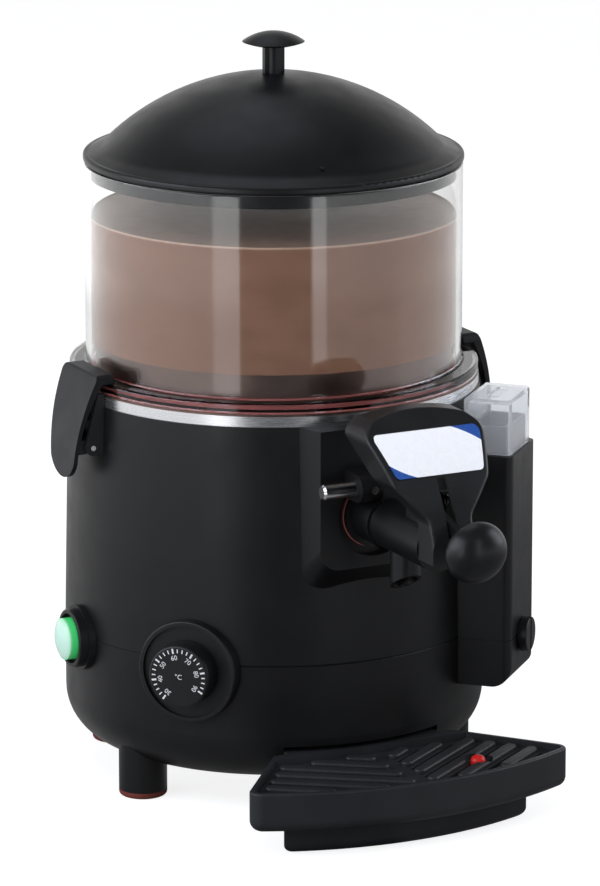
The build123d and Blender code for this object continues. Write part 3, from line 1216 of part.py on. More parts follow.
with BuildPart() as tap_barrel:
    revolve(tap_section((SPIGOT_BACK, 0), (SPIGOT_BACK, spigot_outer_r), (flange_back, spigot_outer_r),
                        (flange_back, BARREL_FLANGE_R), (flange_front, BARREL_FLANGE_R),
                        (flange_front, BARREL_NECK_R), (BARREL_COLLAR_AT, BARREL_NECK_R),
                        (BARREL_COLLAR_AT, BARREL_COLLAR_R), (collar_end, BARREL_COLLAR_R),
                        (collar_end, BARREL_R), (BARREL_END, BARREL_R), (BARREL_END, 0)), axis=TAP_AXIS)
    for ring in SPIGOT_RINGS:
        ring_groove(ring, spigot_ring_r)
    # Tongue for the retaining pin
    with BuildSketch(left(-TONGUE_HALF, PIN_FORWARD, PIN_Z)):
        Circle(TONGUE_R)
        Rectangle(2 * TONGUE_R, PIN_Z - TAP_Z, align=(Align.CENTER, Align.MAX))
    extrude(amount=2 * TONGUE_HALF)
    bore(left(-TONGUE_HALF, PIN_FORWARD, PIN_Z), PIN_R + SHAFT_GAP, 2 * TONGUE_HALF)
    # Lugs for the lever pin, with the slot between them
    with BuildSketch(left(-LUG_HALF, PIVOT_FORWARD, PIVOT_Z)):
        Circle(LUG_R)
        Rectangle(LUG_FOOT, PIVOT_Z - TAP_Z, align=(Align.CENTER, Align.MAX))
    extrude(amount=2 * LUG_HALF)
    with BuildSketch(left(-hub_slot_half, PIVOT_FORWARD - LUG_SLOT_BACK, TAP_Z)):
        Rectangle(BARREL_END - PIVOT_FORWARD + LUG_FOOT, 2 * LUG_FOOT + PIVOT_Z - TAP_Z,
                  align=(Align.MIN, Align.MIN))
    extrude(amount=2 * hub_slot_half, mode=Mode.SUBTRACT)
    bore(left(-LUG_HALF, PIVOT_FORWARD, PIVOT_Z), LEVER_PIN_R + SHAFT_GAP, 2 * LUG_HALF)
    bore(front(SPIGOT_BACK, TAP_Z), SPIGOT_BORE_R, BARREL_END - SPIGOT_BACK)
    bore(front(PISTON_BORE_BACK, TAP_Z), PISTON_BORE_R, BARREL_END - PISTON_BORE_BACK)
    bore(level(TAP_Z, 0, SPOUT_FORWARD), SPOUT_R + SHAFT_GAP, -2 * BARREL_R)
    for way in (-1, 1):
        bore(front(BARREL_END, TAP_Z + SHIELD_SCREW_UP, way * SHIELD_SCREW_SIDE), SHIELD_SCREW_R + SEAT_GAP,
             -SHIELD_SCREW_LENGTH)
finish(tap_barrel, "tap_barrel")

with BuildPart() as tap_gasket:
    inner = spigot_outer_r + SEAT_GAP
    revolve(tap_section((socket_floor, inner), (flange_back, inner), (flange_back, GASKET_RING_R),
                        (socket_floor, GASKET_RING_R)), axis=TAP_AXIS)
finish(tap_gasket, "tap_gasket")

with BuildPart() as tap_o_rings:
    for ring in SPIGOT_RINGS:
        revolve(tap_ring(ring, spigot_ring_r), axis=TAP_AXIS)
finish(tap_o_rings, "tap_o_rings")

with BuildPart() as tap_spout:
    bar(level(SPOUT_BACK_Z, 0, SPOUT_FORWARD), SPOUT_R, TAP_Z - SPOUT_BACK_Z)
    bore(level(SPOUT_BACK_Z, 0, SPOUT_FORWARD), SPOUT_R - SPOUT_WALL, TAP_Z - SPOUT_BACK_Z)
    with BuildSketch(left(-SPOUT_DIVIDER / 2, SPOUT_FORWARD, SPOUT_BACK_Z)):
        Rectangle(2 * SPOUT_R - SPOUT_WALL, TAP_Z - BARREL_R - SPOUT_BACK_Z, align=(Align.CENTER, Align.MIN))
    extrude(amount=SPOUT_DIVIDER)
    extrude(outline(left(), (SPOUT_FORWARD - SPOUT_R, SPOUT_BACK_Z), (SPOUT_FORWARD + SPOUT_R, SPOUT_FRONT_Z),
                    (SPOUT_FORWARD + SPOUT_R, SPOUT_BACK_Z)), amount=2 * SPOUT_R, both=True, mode=Mode.SUBTRACT)
    bore(front(PISTON_BORE_BACK, TAP_Z), PISTON_BORE_R + SHAFT_GAP, BARREL_END - PISTON_BORE_BACK)
finish(tap_spout, "tap_spout")


# Lever with its knob, pin and spring, and the piston that it draws
piston_head_end = PISTON_BACK + PISTON_HEAD
piston_end = piston_head_end + PISTON_ROD
piston_rings = (PISTON_BACK + PISTON_RING_INSET, piston_head_end - PISTON_RING_INSET)
slot_half = LEVER_HALF + PISTON_SLOT_GAP
tip_half = LEVER_TIP_R + PISTON_SLOT_GAP
arm_way = (0, -cos(lever_tilt), -sin(lever_tilt))
arm_length = hypot(BALL_FORWARD - PIVOT_FORWARD, PIVOT_Z - BALL_Z)
PIVOT_POINT = (AXIS_X, AXIS_Y - PIVOT_FORWARD, PIVOT_Z)


def along_lever(reach):
    """Upright plane through the lever arm: local x along the arm, local y above it."""
    return Plane(origin=(AXIS_X - reach, PIVOT_POINT[1], PIVOT_Z), x_dir=arm_way, z_dir=(-1, 0, 0))


def lever_end(distance):
    """Plane square to the lever arm, some way from its pivot."""
    return Plane(origin=Vector(PIVOT_POINT) + distance * Vector(arm_way), x_dir=(1, 0, 0), z_dir=arm_way)


with BuildPart() as tap_piston:
    head_r = PISTON_BORE_R - SHAFT_GAP
    revolve(tap_section((PISTON_BACK, 0), (PISTON_BACK, head_r), (piston_head_end, head_r),
                        (piston_head_end, PISTON_ROD_R), (piston_end, PISTON_ROD_R), (piston_end, 0)),
            axis=TAP_AXIS)
    for ring in piston_rings:
        ring_groove(ring, piston_ring_r)
    with BuildSketch(left(-slot_half, PIVOT_FORWARD, TAP_Z - tip_half)):
        Rectangle(2 * tip_half, 2 * BARREL_R, align=(Align.CENTER, Align.MIN))
    extrude(amount=2 * slot_half, mode=Mode.SUBTRACT)
finish(tap_piston, "tap_piston")

with BuildPart() as piston_seals:
    for ring in piston_rings:
        revolve(tap_ring(ring, piston_ring_r), axis=TAP_AXIS)
finish(piston_seals, "piston_seals")

with BuildPart() as tap_lever:
    with BuildSketch(along_lever(-LEVER_HALF)):
        Rectangle(arm_length - BALL_BACK, LEVER_DEPTH, align=(Align.MIN, Align.CENTER))
    extrude(amount=2 * LEVER_HALF)
    with BuildSketch(left(-LEVER_HALF, PIVOT_FORWARD, PIVOT_Z)):
        Rectangle(LEVER_SHANK, PIVOT_Z - TAP_Z, align=(Align.CENTER, Align.MAX))
        with Locations((0, TAP_Z - PIVOT_Z)):
            Circle(LEVER_TIP_R)
    extrude(amount=2 * LEVER_HALF)
    bar(left(-LEVER_HUB_HALF, PIVOT_FORWARD, PIVOT_Z), LEVER_HUB_R, 2 * LEVER_HUB_HALF)
    bar(lever_end(arm_length - BALL_BACK), LEVER_TENON_R, LEVER_TENON)
    bore(left(-LEVER_HUB_HALF, PIVOT_FORWARD, PIVOT_Z), LEVER_PIN_R + SHAFT_GAP, 2 * LEVER_HUB_HALF)
finish(tap_lever, "tap_lever")

with BuildPart() as lever_knob:
    flat_angle = degrees(asin(BALL_FLAT_R / BALL_R))
    back_axis = BALL_BACK / cos(radians(flat_angle))
    with BuildSketch(along_lever(0)):
        with BuildLine():
            EllipticalCenterArc((arm_length, 0), BALL_FRONT, BALL_R, start_angle=0, arc_size=90)
            EllipticalCenterArc((arm_length, 0), back_axis, BALL_R, start_angle=90, arc_size=90 - flat_angle)
            Polyline((arm_length - BALL_BACK, BALL_FLAT_R), (arm_length - BALL_BACK, 0),
                     (arm_length + BALL_FRONT, 0))
        make_face()
    revolve(axis=Axis(PIVOT_POINT, arm_way))
    bore(lever_end(arm_length - BALL_BACK), LEVER_TENON_R + SHAFT_GAP, LEVER_TENON + SLIDE_GAP)
finish(lever_knob, "lever_knob")

with BuildPart() as lever_pin:
    bar(left(-LEVER_PIN_RIGHT, PIVOT_FORWARD, PIVOT_Z), LEVER_PIN_R, LEVER_PIN_RIGHT + LEVER_PIN_LEFT)
    bar(left(-LEVER_PIN_RIGHT, PIVOT_FORWARD, PIVOT_Z), LEVER_PIN_HEAD_R, -LEVER_PIN_HEAD)
finish(lever_pin, "lever_pin")


def spring_point(turn):
    """Point on the coil after a number of turns, and its direction there."""
    angle = 2 * pi * turn
    start = AXIS_X + LUG_HALF + SPRING_SIDE_GAP + SPRING_WIRE_R
    point = Vector(start + SPRING_PITCH * turn, PIVOT_POINT[1] - SPRING_COIL_R * cos(angle),
                   PIVOT_Z + SPRING_COIL_R * sin(angle))
    way = Vector(SPRING_PITCH / (2 * pi), SPRING_COIL_R * sin(angle), SPRING_COIL_R * cos(angle))
    return point, way.normalized()


def biarc(start, start_way, end, end_way):
    """Two arcs that leave one point and reach the next along given directions."""
    chord = end - start
    both = start_way + end_way
    spread = 2 * (1 - start_way.dot(end_way))
    reach = (sqrt(chord.dot(both) ** 2 + spread * chord.dot(chord)) - chord.dot(both)) / spread
    first = start + start_way * reach
    last = end - end_way * reach
    middle = (first + last) / 2
    TangentArc(start, middle, tangent=start_way)
    TangentArc(middle, end, tangent=(last - first).normalized())


with BuildPart() as lever_spring:
    quarter_turns = [spring_point(step / 4) for step in range(4 * SPRING_TURNS + 1)]
    first_point, first_way = quarter_turns[0]
    last_point, last_way = quarter_turns[-1]
    with BuildLine() as coil:
        Line(first_point - first_way * SPRING_LEG, first_point)
        for (start, start_way), (end, end_way) in zip(quarter_turns, quarter_turns[1:]):
            biarc(start, start_way, end, end_way)
        Line(last_point, last_point + last_way * SPRING_LEG)
    with BuildSketch(Plane(origin=first_point - first_way * SPRING_LEG, z_dir=first_way)):
        Circle(SPRING_WIRE_R)
    sweep(path=coil.line)
finish(lever_spring, "lever_spring")

coil_points = [spring_point(step / 24)[0] for step in range(24 * SPRING_TURNS + 1)]
coil_gap = min((coil_points[i] - coil_points[j]).length
               for i in range(len(coil_points)) for j in range(i)
               if i - j > 12) - 2 * SPRING_WIRE_R
print("lever_spring: least gap between turns", round(coil_gap, 2))


# Retaining pin and its lock screw
with BuildPart() as retaining_pin:
    bar(left(-PIN_RIGHT, PIN_FORWARD, PIN_Z), PIN_R, PIN_RIGHT + PIN_LEFT)
    chamfer(retaining_pin.edges().filter_by(GeomType.CIRCLE), PIN_END)
finish(retaining_pin, "retaining_pin")

with BuildPart() as pin_lock_screw:
    screw(front(PIN_FORWARD + SLEEVE_R, PIN_Z, -LOCK_SCREW_SIDE), LOCK_SCREW_HEAD_R, LOCK_SCREW_HEAD,
          LOCK_SCREW_R, SLEEVE_R - PIN_R - LOOSE_GAP)
finish(pin_lock_screw, "pin_lock_screw")


# Shield around the lever, with its label plate
stem_back = BARREL_END + SHIELD_WALL
# The face is an arc from its foot up to its crown, and its middle lies behind and below it
face_back = SHIELD_FOOT_OUT + SHIELD_CROWN_BACK
face_height = SHIELD_CROWN_Z - SHIELD_FOOT_Z
face_chord = hypot(face_back, face_height)
face_bow = sqrt(SHIELD_FACE_R**2 - (face_chord / 2) ** 2) / face_chord
shield_face_forward = BARREL_END + SHIELD_FOOT_OUT - face_back / 2 - face_bow * face_height
shield_face_z = SHIELD_FOOT_Z + face_height / 2 - face_bow * face_back
shield_inner_r = SHIELD_FACE_R - SHIELD_WALL
shield_inner_front = SHIELD_FRONT - SHIELD_WALL
shield_inner_foot_z = SHIELD_FOOT_Z + SHIELD_WALL


def face_height(forward, radius):
    """Height of the curved face, or of its inside, at a forward distance."""
    return shield_face_z + sqrt(radius**2 - (forward - shield_face_forward) ** 2)


def shield_side(radius, stem_front, foot_z, *back_points):
    """Side outline with the curved face, closed through the given points from the top to the foot."""
    middle = (stem_front + SHIELD_TOP_FORWARD) / 2
    kink = (stem_front, face_height(stem_front, radius))
    top = (SHIELD_TOP_FORWARD, face_height(SHIELD_TOP_FORWARD, radius))
    with BuildSketch(left()) as face:
        with BuildLine():
            Line((stem_front, foot_z), kink)
            ThreePointArc(kink, (middle, face_height(middle, radius)), top)
            Polyline(top, *back_points, (stem_front, foot_z))
        make_face()
    return face.sketch


def shield_front(inset):
    """Front outline of the shield, moved inward by an inset."""
    with BuildSketch(front(0)) as face:
        with BuildLine():
            ThreePointArc((-SHIELD_CROWN_HALF, SHIELD_CROWN_SIDE_Z), (0, SHIELD_CROWN_Z),
                          (SHIELD_CROWN_HALF, SHIELD_CROWN_SIDE_Z))
            Polyline((SHIELD_CROWN_HALF, SHIELD_CROWN_SIDE_Z), (SHIELD_TOP_HALF, SHIELD_TOP_Z),
                     (SHIELD_WAIST_HALF, SHIELD_WAIST_Z), (SHIELD_STEM_HALF, SHIELD_STEM_Z),
                     (SHIELD_STEM_HALF, SHIELD_FOOT_Z), (-SHIELD_STEM_HALF, SHIELD_FOOT_Z),
                     (-SHIELD_STEM_HALF, SHIELD_STEM_Z), (-SHIELD_WAIST_HALF, SHIELD_WAIST_Z),
                     (-SHIELD_TOP_HALF, SHIELD_TOP_Z), (-SHIELD_CROWN_HALF, SHIELD_CROWN_SIDE_Z))
        make_face()
        fillet(face.vertices().group_by(Axis.Y)[1:], SHIELD_ROUND)
        offset(amount=-inset)
    return face.sketch


with BuildPart() as shield_hollow:
    extrude(shield_side(shield_inner_r, shield_inner_front, shield_inner_foot_z,
                        (SHIELD_BACK + SHIELD_WALL, SHIELD_BACK_TOP_Z - SHIELD_WALL),
                        (SHIELD_BACK + SHIELD_WALL, SHIELD_WAIST_Z), (PIVOT_FORWARD, SHIELD_STEM_TOP_Z),
                        (stem_back, SHIELD_STEM_TOP_Z), (stem_back, shield_inner_foot_z)),
            amount=2 * SHIELD_TOP_HALF, both=True)
    extrude(shield_front(SHIELD_WALL), amount=2 * SHIELD_FRONT, mode=Mode.INTERSECT)

with BuildPart() as tap_shield:
    extrude(shield_side(SHIELD_FACE_R, SHIELD_FRONT, SHIELD_FOOT_Z, (SHIELD_BACK, SHIELD_BACK_TOP_Z),
                        (SHIELD_BACK, SHIELD_BACK_LOW_Z), (BARREL_END, SHIELD_STEM_TOP_Z),
                        (BARREL_END, SHIELD_FOOT_Z)), amount=2 * SHIELD_TOP_HALF, both=True)
    extrude(shield_front(0), amount=2 * SHIELD_FRONT, mode=Mode.INTERSECT)
    fillet(tap_shield.faces().filter_by(GeomType.CYLINDER).sort_by(SortBy.AREA)[-1].edges(), SHIELD_EDGE)
    add(shield_hollow.part, mode=Mode.SUBTRACT)
    # Slot for the lever, room for the piston and holes for the screws
    extrude(outline(left(), (SHIELD_FRONT + SHIELD_WALL, SLOT_LOW_Z), (stem_back, SLOT_LOW_Z),
                    (stem_back, SHIELD_STEM_TOP_Z), (PIVOT_FORWARD, SLOT_TOP_Z),
                    (SHIELD_FRONT + SHIELD_WALL, SLOT_TOP_Z)), amount=SLOT_HALF, both=True, mode=Mode.SUBTRACT)
    bore(front(BARREL_END, TAP_Z), PISTON_BORE_R + LOOSE_GAP, SHIELD_BORE_DEPTH)
    for way in (-1, 1):
        bore(front(BARREL_END, TAP_Z + SHIELD_SCREW_UP, way * SHIELD_SCREW_SIDE), SHIELD_SCREW_R + SEAT_GAP,
             SHIELD_WALL)
finish(tap_shield, "tap_shield")

with BuildPart() as shield_screws:
    for way in (-1, 1):
        screw(front(stem_back, TAP_Z + SHIELD_SCREW_UP, way * SHIELD_SCREW_SIDE), SHIELD_SCREW_HEAD_R,
              SHIELD_SCREW_HEAD, SHIELD_SCREW_R, SHIELD_SCREW_LENGTH)
finish(shield_screws, "shield_screws")

with BuildPart() as label_plate:
    with BuildSketch(left(0, shield_face_forward, shield_face_z)):
        Circle(SHIELD_FACE_R + SHAFT_GAP + LABEL_THICK)
        Circle(SHIELD_FACE_R + SHAFT_GAP, mode=Mode.SUBTRACT)
    extrude(amount=2 * LABEL_TOP_HALF, both=True)
    with BuildSketch(front(shield_face_forward)) as label_face:
        with BuildLine():
            Polyline((-LABEL_LOW_HALF, LABEL_LOW_Z), (LABEL_LOW_HALF, LABEL_LOW_Z),
                     (LABEL_TOP_HALF, LABEL_TOP_Z), (-LABEL_TOP_HALF, LABEL_TOP_Z), close=True)
        make_face()
        fillet(label_face.vertices(), LABEL_CORNER)
    extrude(amount=2 * SHIELD_FACE_R, mode=Mode.INTERSECT)
finish(label_plate, "label_plate")


# Water column with its tank, cover, pipe and drain plug
cavity_low_z = COLUMN_BOTTOM_Z + COLUMN_FLOOR
cover_low_z = COLUMN_TOP_Z + SEAT_GAP
plug_seat = COLUMN_REACH + PLUG_SEAL


def column_shape(half, inner, reach, edge):
    """Plan of a column piece in its own coordinates, its outer corners rounded."""
    with BuildSketch() as face:
        with BuildLine():
            Polyline((-half, -inner), (half, -inner), (half, -reach), (-half, -reach), close=True)
        make_face()
        fillet(face.vertices().group_by(Axis.Y)[0], edge)
    return face.sketch


def column_plan(height, half, inner, reach, edge):
    """Plan of a column piece on a level plane."""
    with BuildSketch(level(height, COLUMN_AZIMUTH)) as face:
        add(column_shape(half, inner, reach, edge))
    return face.sketch


with BuildPart() as water_column:
    with BuildSketch(radial(COLUMN_AZIMUTH)) as column_side:
        with BuildLine():
            Polyline((COLUMN_INNER_R, COLUMN_BOTTOM_Z), (COLUMN_REACH, COLUMN_BOTTOM_Z),
                     (COLUMN_REACH, COLUMN_TOP_Z), (COLUMN_INNER_R, COLUMN_TOP_Z), close=True)
        make_face()
        fillet(column_side.vertices().group_by(Axis.X)[-1].sort_by(Axis.Y)[0], COLUMN_FOOT_EDGE)
    extrude(amount=COLUMN_HALF, both=True)
    extrude(column_plan(COLUMN_BOTTOM_Z, COLUMN_HALF, COLUMN_INNER_R, COLUMN_REACH, COLUMN_EDGE),
            amount=COLUMN_TOP_Z, mode=Mode.INTERSECT)
    add(seat_shape.part, mode=Mode.SUBTRACT)
    extrude(column_plan(cavity_low_z, COLUMN_HALF - COLUMN_WALL, TANK_INNER_R - LOOSE_GAP,
                        COLUMN_REACH - COLUMN_WALL, COLUMN_EDGE - COLUMN_WALL),
            amount=COLUMN_TOP_Z - COLUMN_WALL - cavity_low_z, mode=Mode.SUBTRACT)
    extrude(column_plan(cavity_low_z, TANK_HALF + SLIDE_GAP, TANK_INNER_R - SLIDE_GAP, TANK_REACH + SLIDE_GAP,
                        TANK_EDGE), amount=COLUMN_TOP_Z, mode=Mode.SUBTRACT)
    # Parting groove in line with the seam of the housing
    with BuildSketch(level(SEAM_Z - COLUMN_GROOVE / 2, COLUMN_AZIMUTH)):
        with Locations((0, -COLUMN_INNER_R)):
            Rectangle(2 * COLUMN_HALF, COLUMN_REACH, align=(Align.CENTER, Align.MAX))
        add(column_shape(COLUMN_HALF - COLUMN_GROOVE, COLUMN_INNER_R, COLUMN_REACH - COLUMN_GROOVE,
                         COLUMN_EDGE - COLUMN_GROOVE), mode=Mode.SUBTRACT)
    extrude(amount=COLUMN_GROOVE, mode=Mode.SUBTRACT)
    bore(facing(COLUMN_AZIMUTH, 0, PIPE_Z), PIPE_R + SEAT_GAP, TANK_REACH)
    bore(facing(COLUMN_AZIMUTH, TANK_REACH, PLUG_Z), PLUG_STEM_R + SHAFT_GAP, COLUMN_REACH)
finish(water_column, "water_column")

with BuildPart() as column_tank:
    extrude(column_plan(cavity_low_z, TANK_HALF, TANK_INNER_R, TANK_REACH, TANK_EDGE),
            amount=TANK_TOP_Z - cavity_low_z)
    extrude(column_plan(cavity_low_z + TANK_WALL, TANK_HALF - TANK_WALL, TANK_INNER_R + TANK_WALL,
                        TANK_REACH - TANK_WALL, TANK_EDGE - TANK_WALL), amount=TANK_TOP_Z, mode=Mode.SUBTRACT)
    bore(facing(COLUMN_AZIMUTH, 0, PIPE_Z), PIPE_R + SHAFT_GAP, TANK_INNER_R + TANK_WALL)
    bore(facing(COLUMN_AZIMUTH, TANK_REACH, PLUG_Z), PLUG_STEM_R + SHAFT_GAP, -2 * TANK_WALL)
finish(column_tank, "column_tank")

with BuildPart() as column_cover:
    extrude(column_plan(cover_low_z, COVER_HALF, COVER_INNER_R, COVER_REACH, COVER_EDGE),
            amount=COVER_TOP_Z - cover_low_z)
    fillet(column_cover.edges().group_by(Axis.Z)[-1], COVER_TOP_EDGE)
    extrude(column_plan(cover_low_z, COVER_HALF - COVER_WALL, COVER_INNER_R + COVER_WALL,
                        COVER_REACH - COVER_WALL, COVER_EDGE - COVER_WALL),
            amount=COVER_TOP_Z - COVER_TOP_WALL - cover_low_z, mode=Mode.SUBTRACT)
    with BuildSketch(level(COVER_TOP_Z, COLUMN_AZIMUTH, (COVER_INNER_R + COVER_REACH) / 2)):
        SlotOverall(COVER_SLOT_LENGTH, COVER_SLOT_WIDTH)
    extrude(amount=-COVER_SLOT_DEPTH, mode=Mode.SUBTRACT)
finish(column_cover, "column_cover")

with BuildPart() as water_pipe:
    pipe_start = JACKET_R - STEEL - PIPE_TUCK
    pipe_length = TANK_INNER_R + TANK_WALL + LOOSE_GAP - pipe_start
    bar(facing(COLUMN_AZIMUTH, pipe_start, PIPE_Z), PIPE_R, pipe_length)
    bore(facing(COLUMN_AZIMUTH, pipe_start, PIPE_Z), PIPE_R - PIPE_WALL, pipe_length)
finish(water_pipe, "water_pipe")

with BuildPart() as plug_seal:
    bar(facing(COLUMN_AZIMUTH, COLUMN_REACH, PLUG_Z), PLUG_SEAL_R, PLUG_SEAL)
    bore(facing(COLUMN_AZIMUTH, COLUMN_REACH, PLUG_Z), PLUG_STEM_R + SHAFT_GAP, PLUG_SEAL)
finish(plug_seal, "plug_seal")

with BuildPart() as drain_plug:
    bar(facing(COLUMN_AZIMUTH, plug_seat, PLUG_Z), PLUG_R, PLUG_HEAD)
    fillet(drain_plug.edges().filter_by(GeomType.CIRCLE).sort_by_distance(BODY_AXIS.position)[-1], PLUG_EDGE)
    bar(facing(COLUMN_AZIMUTH, plug_seat, PLUG_Z), PLUG_STEM_R, TANK_REACH - TANK_WALL - plug_seat)
    with BuildSketch(facing(COLUMN_AZIMUTH, plug_seat + PLUG_HEAD, PLUG_Z)):
        Rectangle(PLUG_SLOT, 2 * PLUG_R)
    extrude(amount=-PLUG_SLOT_DEPTH, mode=Mode.SUBTRACT)
finish(drain_plug, "drain_plug")


# Drip tray on its base, with the grille and the float
tray_side = TRAY_FRONT - TRAY_FRONT_R + sqrt(TRAY_FRONT_R**2 - TRAY_HALF**2)
basin_z = TRAY_BOTTOM_Z + TRAY_FLOOR
grille_top_z = GRILLE_Z + GRILLE_THICK
rib_top_z = grille_top_z + RIB_RISE
grille_inset = TRAY_RIM + GRILLE_GAP


def tray_shape(inset):
    """Plan of the tray in its own coordinates, moved inward by an inset."""
    with BuildSketch() as face:
        with BuildLine():
            ThreePointArc((-TRAY_HALF, -tray_side), (0, -TRAY_FRONT), (TRAY_HALF, -tray_side))
            Polyline((TRAY_HALF, -tray_side), (TRAY_WAIST_HALF, -TRAY_WAIST), (TRAY_TONGUE_HALF, -TRAY_WAIST),
                     (TRAY_TONGUE_HALF, -TRAY_TONGUE_BACK), (-TRAY_TONGUE_HALF, -TRAY_TONGUE_BACK),
                     (-TRAY_TONGUE_HALF, -TRAY_WAIST), (-TRAY_WAIST_HALF, -TRAY_WAIST),
                     (-TRAY_HALF, -tray_side))
        make_face()
        fillet(face.vertices().group_by(Axis.Y)[0], TRAY_CORNER)
        offset(amount=-inset, kind=Kind.INTERSECTION)
    return face.sketch


def well_shape(inset):
    """Plan of the tray's well, which ends in front of the housing, moved inward by an inset."""
    with BuildSketch() as face:
        add(tray_shape(inset))
        with Locations((0, -TRAY_WELL_BACK - inset)):
            Rectangle(2 * TRAY_HALF, TRAY_FRONT, align=(Align.CENTER, Align.MIN), mode=Mode.SUBTRACT)
    return face.sketch


def on_level(height, shape):
    """Plan shape placed on a level plane."""
    with BuildSketch(level(height)) as face:
        add(shape)
    return face.sketch


def bars(height, width, shift):
    """Slanted bars of the grille on a level plane, mirrored about the middle."""
    with BuildSketch(level(height)) as face:
        for number in range(RIB_COUNT):
            start = -RIB_FIRST - shift - number * RIB_PITCH
            for way, angle in ((1, RIB_ANGLE), (-1, 180 - RIB_ANGLE)):
                with Locations(Location((way * RIB_SPLIT / 2, start), angle)):
                    Rectangle(RIB_LENGTH, RIB_CORE, align=(Align.MIN, Align.CENTER))
        add(well_shape(grille_inset + RIB_MARGIN), mode=Mode.INTERSECT)
        offset(amount=(width - RIB_CORE) / 2, kind=Kind.ARC)
    return face.sketch


def front_edges(piece, height):
    """Edges of the tray's front and sides at a height, without those of its tongue."""
    return piece.edges().filter_by(lambda edge: edge.bounding_box().max.Z < height + TRAY_EDGE
                                   and edge.bounding_box().min.Y < AXIS_Y - TRAY_WAIST - 2 * TRAY_BASE_INSET)


with BuildPart() as tray_base:
    extrude(on_level(0, tray_shape(TRAY_BASE_INSET)), amount=TRAY_BOTTOM_Z)
    fillet(front_edges(tray_base, 0), TRAY_BASE_EDGE)
    extrude(on_level(0, tray_shape(TRAY_BASE_INSET + TRAY_BASE_WALL)), amount=TRAY_BOTTOM_Z - TRAY_BASE_WALL,
            mode=Mode.SUBTRACT)
finish(tray_base, "tray_base")

with BuildPart() as drip_tray:
    extrude(on_level(TRAY_BOTTOM_Z, tray_shape(0)), amount=TRAY_TOP_Z - TRAY_BOTTOM_Z)
    fillet(drip_tray.edges().group_by(Axis.Z)[-1], TRAY_EDGE)
    fillet(front_edges(drip_tray, TRAY_BOTTOM_Z), TRAY_FOOT_EDGE)
    extrude(on_level(GRILLE_Z, well_shape(TRAY_RIM)), amount=TRAY_TOP_Z - GRILLE_Z, mode=Mode.SUBTRACT)
    extrude(on_level(basin_z, well_shape(TRAY_RIM + TRAY_LEDGE)), amount=GRILLE_Z - basin_z, mode=Mode.SUBTRACT)
finish(drip_tray, "drip_tray")

with BuildPart() as tray_grille:
    extrude(on_level(GRILLE_Z, well_shape(grille_inset)), amount=GRILLE_THICK)
    extrude(bars(grille_top_z, RIB_WIDTH, 0), amount=RIB_RISE)
    fillet(tray_grille.edges().group_by(Axis.Z)[-1], RIB_EDGE)
    extrude(bars(GRILLE_Z, DRAIN_WIDTH, RIB_PITCH / 2), amount=GRILLE_THICK, mode=Mode.SUBTRACT)
    with BuildSketch(level(GRILLE_Z)):
        with Locations((FLOAT_SIDE, -FLOAT_FORWARD)):
            Circle(FLOAT_R + LOOSE_GAP)
    extrude(amount=rib_top_z - GRILLE_Z, mode=Mode.SUBTRACT)
    with BuildSketch(level(grille_top_z)):
        with Locations((FLOAT_SIDE, -FLOAT_FORWARD)):
            Circle(FLOAT_NOTCH_R)
    extrude(amount=RIB_RISE, mode=Mode.SUBTRACT)
finish(tray_grille, "tray_grille")

with BuildPart() as tray_float:
    with BuildSketch(level(basin_z + FLOAT_FLOOR_GAP)):
        with Locations((FLOAT_SIDE, -FLOAT_FORWARD)):
            Circle(FLOAT_DISC_R)
    extrude(amount=FLOAT_DISC)
    with BuildSketch(level(basin_z + FLOAT_FLOOR_GAP)):
        with Locations((FLOAT_SIDE, -FLOAT_FORWARD)):
            Circle(FLOAT_R)
    extrude(amount=rib_top_z + FLOAT_RISE - basin_z - FLOAT_FLOOR_GAP)
    fillet(tray_float.edges().group_by(Axis.Z)[-1], FLOAT_ROUND)
finish(tray_float, "tray_float")
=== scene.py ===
from math import cos, pi, radians, sin

import bpy
from mathutils import Matrix, Vector


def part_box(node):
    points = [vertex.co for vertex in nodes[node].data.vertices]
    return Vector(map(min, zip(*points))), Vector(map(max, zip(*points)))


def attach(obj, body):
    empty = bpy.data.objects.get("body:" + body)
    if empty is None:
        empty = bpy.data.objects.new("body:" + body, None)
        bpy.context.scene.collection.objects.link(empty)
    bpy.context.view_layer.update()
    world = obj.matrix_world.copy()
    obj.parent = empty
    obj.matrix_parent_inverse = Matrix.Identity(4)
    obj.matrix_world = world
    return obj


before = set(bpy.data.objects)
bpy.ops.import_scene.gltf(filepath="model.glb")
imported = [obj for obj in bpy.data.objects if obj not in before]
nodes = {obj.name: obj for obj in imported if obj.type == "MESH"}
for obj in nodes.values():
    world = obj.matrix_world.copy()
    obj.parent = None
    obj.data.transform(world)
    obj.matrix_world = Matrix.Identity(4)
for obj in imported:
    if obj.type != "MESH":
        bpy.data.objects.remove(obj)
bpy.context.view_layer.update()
bpy.ops.object.select_all(action="DESELECT")

# Lower and upper housing: two black injection-moulded shells that meet at a fine seam.
# Their upright axis is where the bowl's middle is, and most other pieces are set out from it.
bowl_low, bowl_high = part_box("bowl")
axis_x = (bowl_low[0] + bowl_high[0]) / 2
axis_y = (bowl_low[1] + bowl_high[1]) / 2


def new_material(name):
    material = bpy.data.materials.new(name)
    material.use_nodes = True
    shader = material.node_tree.nodes["Principled BSDF"]
    return material, material.node_tree, shader


def noise(tree, scale, detail=4.0, stretch=(1.0, 1.0, 1.0)):
    place = tree.nodes.new("ShaderNodeTexCoord")
    mapping = tree.nodes.new("ShaderNodeMapping")
    mapping.inputs["Scale"].default_value = stretch
    texture = tree.nodes.new("ShaderNodeTexNoise")
    texture.inputs["Scale"].default_value = scale
    texture.inputs["Detail"].default_value = detail
    tree.links.new(place.outputs["Object"], mapping.inputs["Vector"])
    tree.links.new(mapping.outputs["Vector"], texture.inputs["Vector"])
    return texture.outputs["Fac"]


